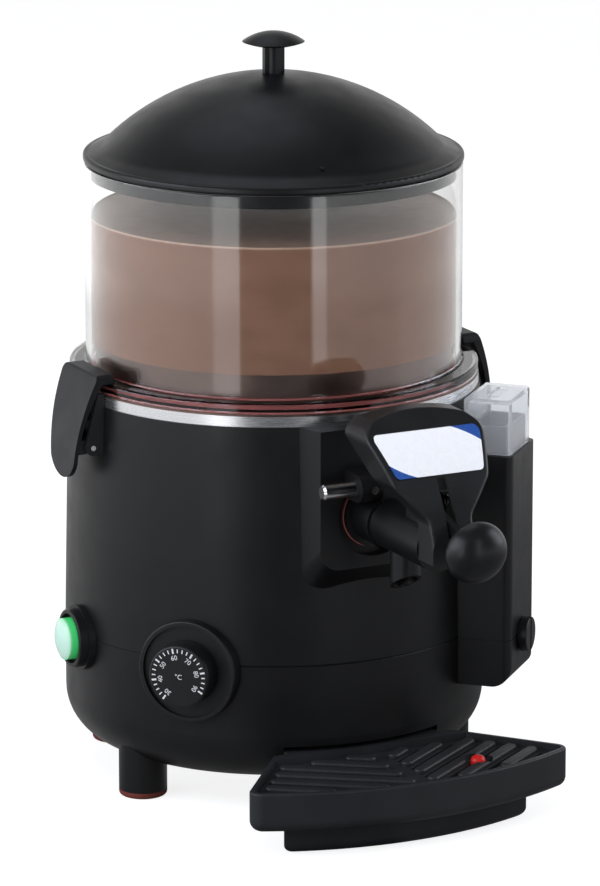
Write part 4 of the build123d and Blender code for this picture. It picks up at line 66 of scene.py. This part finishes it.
def spread(tree, value, low, high, start=0.3, end=0.7):
    ranged = tree.nodes.new("ShaderNodeMapRange")
    ranged.inputs["From Min"].default_value = start
    ranged.inputs["From Max"].default_value = end
    ranged.inputs["To Min"].default_value = low
    ranged.inputs["To Max"].default_value = high
    tree.links.new(value, ranged.inputs["Value"])
    return ranged.outputs["Result"]


def tint(tree, value, dark, light):
    mix = tree.nodes.new("ShaderNodeMix")
    mix.data_type = "RGBA"
    mix.inputs["A"].default_value = (*dark, 1.0)
    mix.inputs["B"].default_value = (*light, 1.0)
    tree.links.new(value, mix.inputs["Factor"])
    return mix.outputs["Result"]


def relief(tree, shader, value, strength, depth):
    bump = tree.nodes.new("ShaderNodeBump")
    bump.inputs["Strength"].default_value = strength
    bump.inputs["Distance"].default_value = depth
    tree.links.new(value, bump.inputs["Height"])
    tree.links.new(bump.outputs["Normal"], shader.inputs["Normal"])


def moulded_plastic(name, dark, light, rough_low, rough_high, grain, depth):
    material, tree, shader = new_material(name)
    patches = spread(tree, noise(tree, scale=28.0), 0.0, 1.0)
    tree.links.new(tint(tree, patches, dark, light), shader.inputs["Base Color"])
    wear = noise(tree, scale=60.0, detail=6.0)
    tree.links.new(spread(tree, wear, rough_low, rough_high), shader.inputs["Roughness"])
    relief(tree, shader, noise(tree, scale=grain, detail=2.0), strength=0.35, depth=depth)
    shader.inputs["Specular IOR Level"].default_value = 0.36
    return material


def dress(material, *names):
    for name in names:
        nodes[name].data.materials.clear()
        nodes[name].data.materials.append(material)


housing_black = moulded_plastic("housing_black", (0.0042, 0.0042, 0.0044), (0.0064, 0.0064, 0.0068),
                                rough_low=0.34, rough_high=0.44, grain=2600.0, depth=0.00006)
dress(housing_black, "lower_housing", "upper_housing", "water_column", "cable_inlet")

# Feet: dull red rubber pads screwed under the four moulded legs, in random patches of darker and paler red.
# The seals inside the tap, the drain and the drive are black rubber.
foot_rubber = moulded_plastic("foot_rubber", (0.11, 0.02, 0.014), (0.2, 0.042, 0.03),
                              rough_low=0.7, rough_high=0.85, grain=1500.0, depth=0.0001)
dress(foot_rubber, "foot_pads")
seal_rubber = moulded_plastic("seal_rubber", (0.012, 0.011, 0.011), (0.03, 0.028, 0.027),
                              rough_low=0.6, rough_high=0.75, grain=1500.0, depth=0.0001)
dress(seal_rubber, "tap_o_rings", "piston_seals", "plug_seal", "shaft_seal")


# Steel band under the bowl: rolled stainless strip with a fine brushed line running round it.
# The jacket, pipe, element and drive below are the same sheet and tube.
# The pan is dull steel tinted dark brown, a painted shade for the dark band seen through the bowl's flange.
def brushed_steel(name, colour, stretch, rough_low, rough_high):
    material, tree, shader = new_material(name)
    lines = noise(tree, scale=40.0, detail=8.0, stretch=stretch)
    shader.inputs["Metallic"].default_value = 1.0
    darker = tuple(0.86 * channel for channel in colour)
    tree.links.new(tint(tree, lines, darker, colour), shader.inputs["Base Color"])
    tree.links.new(spread(tree, lines, rough_low, rough_high), shader.inputs["Roughness"])
    relief(tree, shader, lines, strength=0.2, depth=0.00003)
    return material


band_steel = brushed_steel("band_steel", (0.84, 0.84, 0.85), stretch=(1.0, 1.0, 60.0),
                           rough_low=0.2, rough_high=0.32)
dress(band_steel, "rim_ring", "water_jacket", "base_plate", "heating_element", "motor_bracket",
      "shaft_tube", "drive_shaft", "water_pipe")
# Painted shade: the pan's steel is tinted dark brown.
pan_painted_shade = brushed_steel("pan_painted_shade", (0.2, 0.134, 0.112), stretch=(1.0, 1.0, 60.0),
                          rough_low=0.36, rough_high=0.46)
dress(pan_painted_shade, "product_pan")
motor_paint = moulded_plastic("motor_paint", (0.03, 0.03, 0.032), (0.05, 0.05, 0.053),
                              rough_low=0.4, rough_high=0.55, grain=900.0, depth=0.00008)
dress(motor_paint, "gear_motor", "thermostat", "switch_body")

# Screws and pins: bright turned stainless steel.
bright_steel = brushed_steel("bright_steel", (0.78, 0.78, 0.77), stretch=(30.0, 1.0, 1.0),
                             rough_low=0.14, rough_high=0.24)
dress(bright_steel, "foot_screws", "base_screws", "latch_pins", "bracket_screws", "knob_screw",
      "shield_screws", "pin_lock_screw", "lever_pin", "retaining_pin")
spring_steel = brushed_steel("spring_steel", (0.07, 0.07, 0.072), stretch=(1.0, 1.0, 1.0),
                             rough_low=0.3, rough_high=0.4)
dress(spring_steel, "lever_spring")

# Bowl: clear polycarbonate tube with a flat flange at its foot, polished, with the faintest wipe marks.
clear_plastic, tree, shader = new_material("clear_plastic")
shader.inputs["Base Color"].default_value = (0.985, 0.988, 0.988, 1.0)
shader.inputs["Transmission Weight"].default_value = 1.0
shader.inputs["IOR"].default_value = 1.47
wipe_marks = noise(tree, scale=90.0, detail=5.0, stretch=(1.0, 1.0, 0.2))
tree.links.new(spread(tree, wipe_marks, 0.0, 0.035, start=0.45, end=0.75), shader.inputs["Roughness"])
dress(clear_plastic, "bowl")

# Bowl gasket and tap gasket: red silicone rings that the bowl and the tap are pressed on.
red_silicone = moulded_plastic("red_silicone", (0.4, 0.11, 0.1), (0.5, 0.15, 0.14),
                               rough_low=0.38, rough_high=0.5, grain=900.0, depth=0.00005)
dress(red_silicone, "bowl_gasket", "tap_gasket")
red_float = moulded_plastic("red_float", (0.55, 0.012, 0.01), (0.62, 0.02, 0.014),
                            rough_low=0.25, rough_high=0.35, grain=1200.0, depth=0.00003)
dress(red_float, "tray_float")

# Hot chocolate: fills the pan and the bowl to about two thirds. It creeps a little way up the wall
# all round, and its top has a slow swirl. Its edge is painted paler, a painted highlight along the meniscus.
drink_wall_r = 0.11185
drink_pan_r = 0.1077
drink_low_z = 0.2165
drink_pan_z = 0.2722
drink_bowl_z = 0.2724
drink_top_z = 0.3488
drink_creep = 0.0012
drink_film_r = 0.1112
drink_meniscus_r = 0.1098
drink_edge_r = 0.105
drink_ring_r = 0.07
drink_core_r = 0.03
film_drop = 0.0007
meniscus_drop = 0.0004
edge_drop = 0.0001
core_drop = 0.0002
bpy.ops.mesh.primitive_circle_add(vertices=128, radius=drink_pan_r, fill_type="NGON",
                                  location=(axis_x, axis_y, drink_low_z))
drink = bpy.context.object
drink.name = "hot_chocolate"
bpy.ops.object.transform_apply(location=True, rotation=True, scale=True)
bpy.ops.object.mode_set(mode="EDIT")
bpy.ops.mesh.select_all(action="SELECT")
middle = (axis_x, axis_y, 0.0)
for rise, radius, next_radius in (
        (drink_pan_z - drink_low_z, drink_pan_r, drink_pan_r),
        (drink_bowl_z - drink_pan_z, drink_pan_r, drink_wall_r),
        (drink_top_z + drink_creep - drink_bowl_z, drink_wall_r, drink_wall_r),
        (-film_drop, drink_wall_r, drink_film_r),
        (-meniscus_drop, drink_film_r, drink_meniscus_r),
        (-edge_drop, drink_meniscus_r, drink_edge_r),
        (0.0, drink_edge_r, drink_ring_r),
        (-core_drop, drink_ring_r, drink_core_r)):
    bpy.ops.mesh.extrude_region_move(TRANSFORM_OT_translate={"value": (0, 0, rise)})
    scale = next_radius / radius
    bpy.ops.transform.resize(value=(scale, scale, 1.0), center_override=middle)
bpy.ops.mesh.select_all(action="SELECT")
bpy.ops.mesh.normals_make_consistent(inside=False)
bpy.ops.object.mode_set(mode="OBJECT")
bpy.ops.object.shade_smooth_by_angle(angle=radians(40))
chocolate, tree, shader = new_material("chocolate")
swirl = noise(tree, scale=26.0, detail=6.0, stretch=(1.0, 1.0, 2.2))
drink_brown = tint(tree, spread(tree, swirl, 0.0, 1.0, start=0.35, end=0.68),
                   (0.25, 0.128, 0.08), (0.292, 0.153, 0.098))
place = tree.nodes.new("ShaderNodeTexCoord")
parts = tree.nodes.new("ShaderNodeSeparateXYZ")
tree.links.new(place.outputs["Object"], parts.inputs["Vector"])
# Painted highlight: the drink turns pale near its top, strongest where it creeps up the wall.
meniscus_highlight = tree.nodes.new("ShaderNodeMix")
meniscus_highlight.data_type = "RGBA"
meniscus_highlight.inputs["B"].default_value = (0.62, 0.44, 0.34, 1.0)
highlight_low_z = drink_top_z - 0.0004
highlight_high_z = drink_top_z + 0.0008
tree.links.new(spread(tree, parts.outputs["Z"], 0.0, 1.0, highlight_low_z, highlight_high_z), meniscus_highlight.inputs["Factor"])
tree.links.new(drink_brown, meniscus_highlight.inputs["A"])
tree.links.new(meniscus_highlight.outputs["Result"], shader.inputs["Base Color"])
tree.links.new(spread(tree, noise(tree, scale=120.0), 0.3, 0.42), shader.inputs["Roughness"])
relief(tree, shader, noise(tree, scale=240.0, detail=3.0), strength=0.15, depth=0.0003)
shader.inputs["Specular IOR Level"].default_value = 0.1
drink.data.materials.append(chocolate)
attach(drink, "machine")

# Lid and its knob: black moulded dome, a little smoother than the body, with a mushroom knob.
lid_black = moulded_plastic("lid_black", (0.0042, 0.0043, 0.0046), (0.0062, 0.0063, 0.0067),
                            rough_low=0.34, rough_high=0.43, grain=2200.0, depth=0.00005)
dress(lid_black, "lid", "lid_knob")

# Side latches and brackets: black moulded hooks on steel pins.
latch_black = moulded_plastic("latch_black", (0.008, 0.0082, 0.0088), (0.0115, 0.0118, 0.0126),
                              rough_low=0.4, rough_high=0.5, grain=2400.0, depth=0.00008)
dress(latch_black, "latch_left", "latch_right", "latch_bracket_left", "latch_bracket_right")

# Thermostat dial in its collar: black knob with a printed white scale, one stroke for each 2.5 degrees
# of heat, bold strokes and numerals every ten, and the unit in the middle.
control_black = moulded_plastic("control_black", (0.0065, 0.0066, 0.0068), (0.009, 0.0092, 0.0096),
                                rough_low=0.34, rough_high=0.42, grain=2000.0, depth=0.00005)
dress(control_black, "dial_collar", "dial", "switch_bezel", "drain_plug")
print_white, tree, shader = new_material("print_white")
ink = noise(tree, scale=900.0)
tree.links.new(tint(tree, ink, (0.62, 0.62, 0.62), (0.78, 0.78, 0.78)), shader.inputs["Base Color"])
shader.inputs["Roughness"].default_value = 0.45
dial_azimuth = radians(-49.5)
dial_z = 0.092
dial_face_r = 0.1471
scale_start = -145.0
stroke_count = 25
stroke_step = 11.0
strokes_a_numeral = 4
stroke_r = 0.0162
numeral_r = 0.0119
numerals = range(30, 100, 10)
numeral_size = 0.0042
unit_size = 0.0044
ink_depth = 0.00004
bold_stroke = (0.0011, 0.0031, 2 * ink_depth)
fine_stroke = (0.0007, 0.0023, 2 * ink_depth)
dial_out = Vector((sin(dial_azimuth), -cos(dial_azimuth), 0.0))
dial_right = Vector((cos(dial_azimuth), sin(dial_azimuth), 0.0))
dial_up = Vector((0.0, 0.0, 1.0))
dial_face = Vector((axis_x, axis_y, dial_z)) + dial_face_r * dial_out
print_lift = 0.00002
scale_pieces = []


def on_dial(angle, radius):
    way = radians(angle)
    up = cos(way) * dial_up + sin(way) * dial_right
    right = cos(way) * dial_right - sin(way) * dial_up
    centre = dial_face + radius * up + print_lift * dial_out
    return Matrix((
        (right.x, up.x, dial_out.x, centre.x),
        (right.y, up.y, dial_out.y, centre.y),
        (right.z, up.z, dial_out.z, centre.z),
        (0.0, 0.0, 0.0, 1.0),
    ))


def print_text(body, size, angle, radius):
    bpy.ops.object.text_add()
    letters = bpy.context.object
    letters.data.body = body
    letters.data.size = size
    letters.data.extrude = ink_depth
    letters.data.align_x = "CENTER"
    letters.data.align_y = "CENTER"
    bpy.ops.object.convert(target="MESH")
    letters.matrix_world = on_dial(angle, radius)
    scale_pieces.append(letters)


for stroke in range(stroke_count):
    bold = stroke % strokes_a_numeral == 0
    bpy.ops.mesh.primitive_cube_add(size=1.0)
    tick = bpy.context.object
    tick.scale = bold_stroke if bold else fine_stroke
    bpy.ops.object.transform_apply(location=False, rotation=False, scale=True)
    tick.matrix_world = on_dial(scale_start + stroke * stroke_step, stroke_r)
    scale_pieces.append(tick)
for place_on_scale, numeral in enumerate(numerals):
    numeral_angle = scale_start + place_on_scale * strokes_a_numeral * stroke_step
    print_text(str(numeral), numeral_size, numeral_angle, numeral_r)
print_text("°C", unit_size, 0.0, 0.0)
bpy.ops.object.select_all(action="DESELECT")
for piece in scale_pieces:
    piece.select_set(True)
bpy.context.view_layer.objects.active = scale_pieces[0]
bpy.ops.object.join()
dial_scale = bpy.context.object
dial_scale.name = "dial_scale"
bpy.ops.object.transform_apply(location=True, rotation=True, scale=True)
dial_scale.data.materials.clear()
dial_scale.data.materials.append(print_white)
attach(dial_scale, "dial")

# Power button: translucent moulded cap, green round its edge and lit from behind; its domed front is painted
# milky pale, a painted highlight.
lit_green, tree, shader = new_material("lit_green")
switch_azimuth = radians(-92.0)
switch_out = Vector((sin(switch_azimuth), -cos(switch_azimuth), 0.0))
place = tree.nodes.new("ShaderNodeTexCoord")
along = tree.nodes.new("ShaderNodeVectorMath")
along.operation = "DOT_PRODUCT"
along.inputs[1].default_value = switch_out
tree.links.new(place.outputs["Object"], along.inputs[0])
button_middle = axis_x * switch_out.x + axis_y * switch_out.y
button_edge_r = 0.1405
button_front_r = 0.1432
# Painted highlight: the domed front of the cap is painted pale and glows with it.
painted_front_highlight = spread(tree, along.outputs["Value"], 0.0, 1.0, button_middle + button_edge_r,
               button_middle + button_front_r)
button_colour = tint(tree, painted_front_highlight, (0.06, 0.6, 0.16), (0.5, 0.72, 0.6))
tree.links.new(button_colour, shader.inputs["Base Color"])
tree.links.new(button_colour, shader.inputs["Emission Color"])
shader.inputs["Emission Strength"].default_value = 0.2
tree.links.new(spread(tree, noise(tree, scale=300.0), 0.18, 0.28), shader.inputs["Roughness"])
dress(lit_green, "power_button")

# Tap: black moulded barrel, spout, piston and lever, and a rounded lever ball; the hood is a paler copy of
# that black, painted light for the light falling on it.
# The tank in the water column is the same black plastic.
tap_black = moulded_plastic("tap_black", (0.0045, 0.0046, 0.0048), (0.007, 0.0071, 0.0075),
                            rough_low=0.32, rough_high=0.42, grain=2300.0, depth=0.00007)
dress(tap_black, "tap_barrel", "tap_spout", "tap_piston", "tap_lever", "column_tank")
# Painted light: the hood's black is paler than the tap's.
hood_painted_light = moulded_plastic("hood_painted_light", (0.0085, 0.0087, 0.0094), (0.0125, 0.0128, 0.0137),
                             rough_low=0.32, rough_high=0.42, grain=2300.0, depth=0.00007)
dress(hood_painted_light, "tap_shield")
ball_black = moulded_plastic("ball_black", (0.007, 0.0071, 0.0074), (0.0095, 0.0097, 0.01),
                             rough_low=0.3, rough_high=0.38, grain=1800.0, depth=0.00004)
dress(ball_black, "lever_knob")

# Label plate on the hood: glossy white plate with two plain blue corners.
# Each corner is what lies beyond a large circle, on one half of the plate.
label_print, tree, shader = new_material("label_print")
place = tree.nodes.new("ShaderNodeTexCoord")
parts = tree.nodes.new("ShaderNodeSeparateXYZ")
tree.links.new(place.outputs["Object"], parts.inputs["Vector"])
flat = tree.nodes.new("ShaderNodeCombineXYZ")
tree.links.new(parts.outputs["X"], flat.inputs["X"])
tree.links.new(parts.outputs["Z"], flat.inputs["Z"])
label_white = (0.92, 0.93, 0.94)
label_blue = (0.022, 0.085, 0.34)
line_blur = 0.0002
corners = []
for centre_x, centre_z, radius, left, right in (
        (0.0024, 0.2906, 0.0606, 1.0, 0.0),
        (-0.0017, 0.1972, 0.06075, 0.0, 1.0)):
    reach = tree.nodes.new("ShaderNodeVectorMath")
    reach.operation = "DISTANCE"
    reach.inputs[1].default_value = (axis_x + centre_x, 0.0, centre_z)
    tree.links.new(flat.outputs["Vector"], reach.inputs[0])
    beyond = spread(tree, reach.outputs["Value"], 0.0, 1.0, radius, radius + line_blur)
    half = spread(tree, parts.outputs["X"], left, right, axis_x - line_blur, axis_x + line_blur)
    corner = tree.nodes.new("ShaderNodeMath")
    corner.operation = "MULTIPLY"
    tree.links.new(beyond, corner.inputs[0])
    tree.links.new(half, corner.inputs[1])
    corners.append(corner.outputs["Value"])
either = tree.nodes.new("ShaderNodeMath")
either.operation = "MAXIMUM"
tree.links.new(corners[0], either.inputs[0])
tree.links.new(corners[1], either.inputs[1])
label_colour = tint(tree, either.outputs["Value"], label_white, label_blue)
tree.links.new(label_colour, shader.inputs["Base Color"])
tree.links.new(spread(tree, noise(tree, scale=200.0), 0.22, 0.32), shader.inputs["Roughness"])
dress(label_print, "label_plate")

# Agitator: smooth pale plastic. The cover of the water column is clear and a little milky.
pale_plastic = moulded_plastic("pale_plastic", (0.55, 0.55, 0.53), (0.63, 0.63, 0.61),
                               rough_low=0.3, rough_high=0.4, grain=1600.0, depth=0.00005)
dress(pale_plastic, "agitator")
clear_cover, tree, shader = new_material("clear_cover")
shader.inputs["Base Color"].default_value = (0.94, 0.955, 0.98, 1.0)
shader.inputs["Transmission Weight"].default_value = 0.8
shader.inputs["IOR"].default_value = 1.12
haze = noise(tree, scale=120.0, detail=5.0)
tree.links.new(spread(tree, haze, 0.08, 0.15, start=0.45, end=0.75), shader.inputs["Roughness"])
dress(clear_cover, "column_cover")

# Drip tray, its base and its grille: black moulded plastic with a coarser grain, duller from washing, and
# paler than the housing's black, painted light for the light falling on the tray.
# Painted light: the tray's black is paler than the housing's.
tray_painted_light = moulded_plastic("tray_painted_light", (0.015, 0.0153, 0.017), (0.021, 0.0214, 0.0236),
                             rough_low=0.38, rough_high=0.5, grain=1700.0, depth=0.0001)
dress(tray_painted_light, "tray_base", "drip_tray", "tray_grille")

# Pale floor that the machine stands on. It is white to the eye and behind the clear bowl, and darker
# for what shines.
floor_grey = (0.38, 0.38, 0.38)
mirrored_grey = (0.12, 0.12, 0.12)
floor_glow = 0.82
floor_z = -0.0002
bpy.ops.mesh.primitive_plane_add(size=12.0, location=(0.0, 0.0, floor_z))
floor = bpy.context.object
floor.name = "floor"
floor_paint, tree, shader = new_material("floor_paint")
shader.inputs["Roughness"].default_value = 0.9
shader.inputs["Specular IOR Level"].default_value = 0.0
rays = tree.nodes.new("ShaderNodeLightPath")
floor_colour = tint(tree, rays.outputs["Is Glossy Ray"], floor_grey, mirrored_grey)
tree.links.new(floor_colour, shader.inputs["Base Color"])
view_azimuth = radians(-26.8)
place = tree.nodes.new("ShaderNodeTexCoord")
nearness = tree.nodes.new("ShaderNodeVectorMath")
nearness.operation = "DOT_PRODUCT"
nearness.inputs[1].default_value = (sin(view_azimuth), -cos(view_azimuth), 0.0)
tree.links.new(place.outputs["Object"], nearness.inputs[0])
behind = tree.nodes.new("ShaderNodeMath")
behind.operation = "MULTIPLY"
tree.links.new(rays.outputs["Is Transmission Ray"], behind.inputs[0])
tree.links.new(spread(tree, nearness.outputs["Value"], 1.0, 0.0, start=0.1, end=0.4), behind.inputs[1])
seen = tree.nodes.new("ShaderNodeMath")
seen.operation = "MAXIMUM"
tree.links.new(rays.outputs["Is Camera Ray"], seen.inputs[0])
tree.links.new(behind.outputs["Value"], seen.inputs[1])
glow = tree.nodes.new("ShaderNodeMath")
glow.operation = "MULTIPLY"
glow.inputs[1].default_value = floor_glow
tree.links.new(seen.outputs["Value"], glow.inputs[0])
shader.inputs["Emission Color"].default_value = (1.0, 1.0, 1.0, 1.0)

# What shines mirrors the floor further off: pale on both sides, dark towards the camera, and a bright
# stripe on each side of that dark part, which draws the upright lines on the bowl and the steel band.
stripe_level = 1.5
far_level = 2.3
sideways = tree.nodes.new("ShaderNodeVectorMath")
sideways.operation = "DOT_PRODUCT"
sideways.inputs[1].default_value = (cos(view_azimuth), sin(view_azimuth), 0.0)
tree.links.new(place.outputs["Object"], sideways.inputs[0])
bearing = tree.nodes.new("ShaderNodeMath")
bearing.operation = "ARCTAN2"
tree.links.new(sideways.outputs["Value"], bearing.inputs[0])
tree.links.new(nearness.outputs["Value"], bearing.inputs[1])


def grey_ramp(tree, value, first, last, *steps):
    ramp = tree.nodes.new("ShaderNodeValToRGB")
    stops = ramp.color_ramp.elements
    stops[0].color = (first, first, first, 1.0)
    stops[1].color = (last, last, last, 1.0)
    for share, grey in steps:
        stop = stops.new(share)
        stop.color = (grey, grey, grey, 1.0)
    tree.links.new(value, ramp.inputs["Fac"])
    return ramp.outputs["Color"]


turn = spread(tree, bearing.outputs["Value"], 0.0, 1.0, start=-pi, end=pi)
near_grey = grey_ramp(tree, turn, 0.42, 0.1, (0.19, 0.42), (0.27, 0.16), (0.436, 0.16), (0.446, 0.0),
                      (0.556, 0.0), (0.57, 0.1))
far_grey = grey_ramp(tree, turn, 0.55, 0.3, (0.392, 0.48), (0.396, 1.0), (0.438, 1.0), (0.442, 0.0),
                     (0.561, 0.0), (0.565, 1.0), (0.586, 1.0), (0.59, 0.4))
reach = tree.nodes.new("ShaderNodeVectorMath")
reach.operation = "LENGTH"
tree.links.new(place.outputs["Object"], reach.inputs[0])
stripes = tree.nodes.new("ShaderNodeMath")
stripes.operation = "MULTIPLY"
tree.links.new(far_grey, stripes.inputs[0])
stripe_strength = spread(tree, reach.outputs["Value"], stripe_level, far_level, start=1.4, end=1.55)
tree.links.new(stripe_strength, stripes.inputs[1])
outward = tree.nodes.new("ShaderNodeMix")
tree.links.new(spread(tree, reach.outputs["Value"], 0.0, 1.0, start=0.8, end=1.0), outward.inputs["Factor"])
tree.links.new(near_grey, outward.inputs["A"])
tree.links.new(stripes.outputs["Value"], outward.inputs["B"])
mirrored = tree.nodes.new("ShaderNodeMath")
mirrored.operation = "MULTIPLY"
tree.links.new(rays.outputs["Is Glossy Ray"], mirrored.inputs[0])
tree.links.new(outward.outputs["Result"], mirrored.inputs[1])
either = tree.nodes.new("ShaderNodeMath")
either.operation = "MAXIMUM"
tree.links.new(glow.outputs["Value"], either.inputs[0])
tree.links.new(mirrored.outputs["Value"], either.inputs[1])
tree.links.new(either.outputs["Value"], shader.inputs["Emission Strength"])
floor.data.materials.append(floor_paint)

# Even white surroundings that darken towards the camera for what shines, two upright strip lights,
# broad softboxes on both sides, a weak one overhead, and a front fill that nothing mirrors.
lamp_white = (0.92, 0.96, 1.08)
lamp_aim_z = 0.25
far_shine = 1.0
near_shine = 0.07
inner_level = 0.8
even_level = 0.4
seen_level = 1.0
level_lean = 0.6
upward_lean = 0.8
world = bpy.data.worlds.new("studio")
bpy.context.scene.world = world
world.use_nodes = True
tree = world.node_tree
background = tree.nodes["Background"]
background.inputs["Color"].default_value = (1.0, 1.0, 1.0, 1.0)
place = tree.nodes.new("ShaderNodeTexCoord")
facing = tree.nodes.new("ShaderNodeVectorMath")
facing.operation = "DOT_PRODUCT"
facing.inputs[1].default_value = (
    level_lean * sin(view_azimuth), -level_lean * cos(view_azimuth), upward_lean)
tree.links.new(place.outputs["Generated"], facing.inputs[0])
shine = spread(tree, facing.outputs["Value"], far_shine, near_shine, start=-0.45, end=0.2)
rays = tree.nodes.new("ShaderNodeLightPath")
through = tree.nodes.new("ShaderNodeMix")
through.inputs["B"].default_value = inner_level
tree.links.new(rays.outputs["Diffuse Depth"], through.inputs["Factor"])
tree.links.new(shine, through.inputs["A"])
shining = tree.nodes.new("ShaderNodeMath")
shining.operation = "MAXIMUM"
tree.links.new(rays.outputs["Is Glossy Ray"], shining.inputs[0])
tree.links.new(rays.outputs["Is Transmission Ray"], shining.inputs[1])
level = tree.nodes.new("ShaderNodeMix")
level.inputs["A"].default_value = even_level
tree.links.new(shining.outputs["Value"], level.inputs["Factor"])
tree.links.new(through.outputs["Result"], level.inputs["B"])
strength = tree.nodes.new("ShaderNodeMix")
strength.inputs["B"].default_value = seen_level
tree.links.new(rays.outputs["Is Camera Ray"], strength.inputs["Factor"])
tree.links.new(level.outputs["Result"], strength.inputs["A"])
tree.links.new(strength.outputs["Result"], background.inputs["Strength"])
for name, azimuth, distance, height, size, power in (
        ("strip_left", -54.0, 1.6, 0.62, (0.22, 1.1), 2.6),
        ("strip_right", -1.0, 1.6, 0.62, (0.18, 1.1), 1.6),
        ("softbox_left", -96.0, 1.6, 0.85, (1.9, 1.2), 20.0),
        ("softbox_right", 70.0, 1.6, 0.85, (1.1, 1.2), 11.0),
        ("softbox_top", 180.0, 0.5, 1.7, (1.0, 1.0), 2.4),
        ("fill_front", -27.0, 1.3, 1.5, (0.8, 0.8), 9.0)):
    lamp = bpy.data.lights.new(name, "AREA")
    lamp.shape = "RECTANGLE"
    lamp.size, lamp.size_y = size
    lamp.energy = power
    lamp.color = lamp_white
    holder = bpy.data.objects.new(name, lamp)
    aim = Vector((axis_x, axis_y, lamp_aim_z))
    way = radians(azimuth)
    holder.location = (axis_x + distance * sin(way), axis_y - distance * cos(way), height)
    holder.rotation_euler = (aim - holder.location).to_track_quat("-Z", "Y").to_euler()
    holder.visible_glossy = name != "fill_front"
    bpy.context.scene.collection.objects.link(holder)

# Camera at the photograph's height and angle, far off with a long lens.
view_height = radians(14.1)
view_distance = 3.6
target_z = 0.2026
target_shift = 0.0161
level_way = Vector((sin(view_azimuth), -cos(view_azimuth), 0.0))
view_way = cos(view_height) * level_way + Vector((0.0, 0.0, sin(view_height)))
view_right = Vector((cos(view_azimuth), sin(view_azimuth), 0.0))
target = Vector((axis_x, axis_y, target_z)) + target_shift * view_right
camera = bpy.data.cameras.new("camera")
camera.sensor_fit = "VERTICAL"
camera.sensor_height = 36.0
camera.lens = 237.2
camera.clip_end = 30.0
viewer = bpy.data.objects.new("camera", camera)
viewer.location = target + view_distance * view_way
viewer.rotation_euler = (-view_way).to_track_quat("-Z", "Y").to_euler()
bpy.context.scene.collection.objects.link(viewer)
bpy.context.scene.camera = viewer
bpy.context.scene.view_settings.view_transform = "Standard"
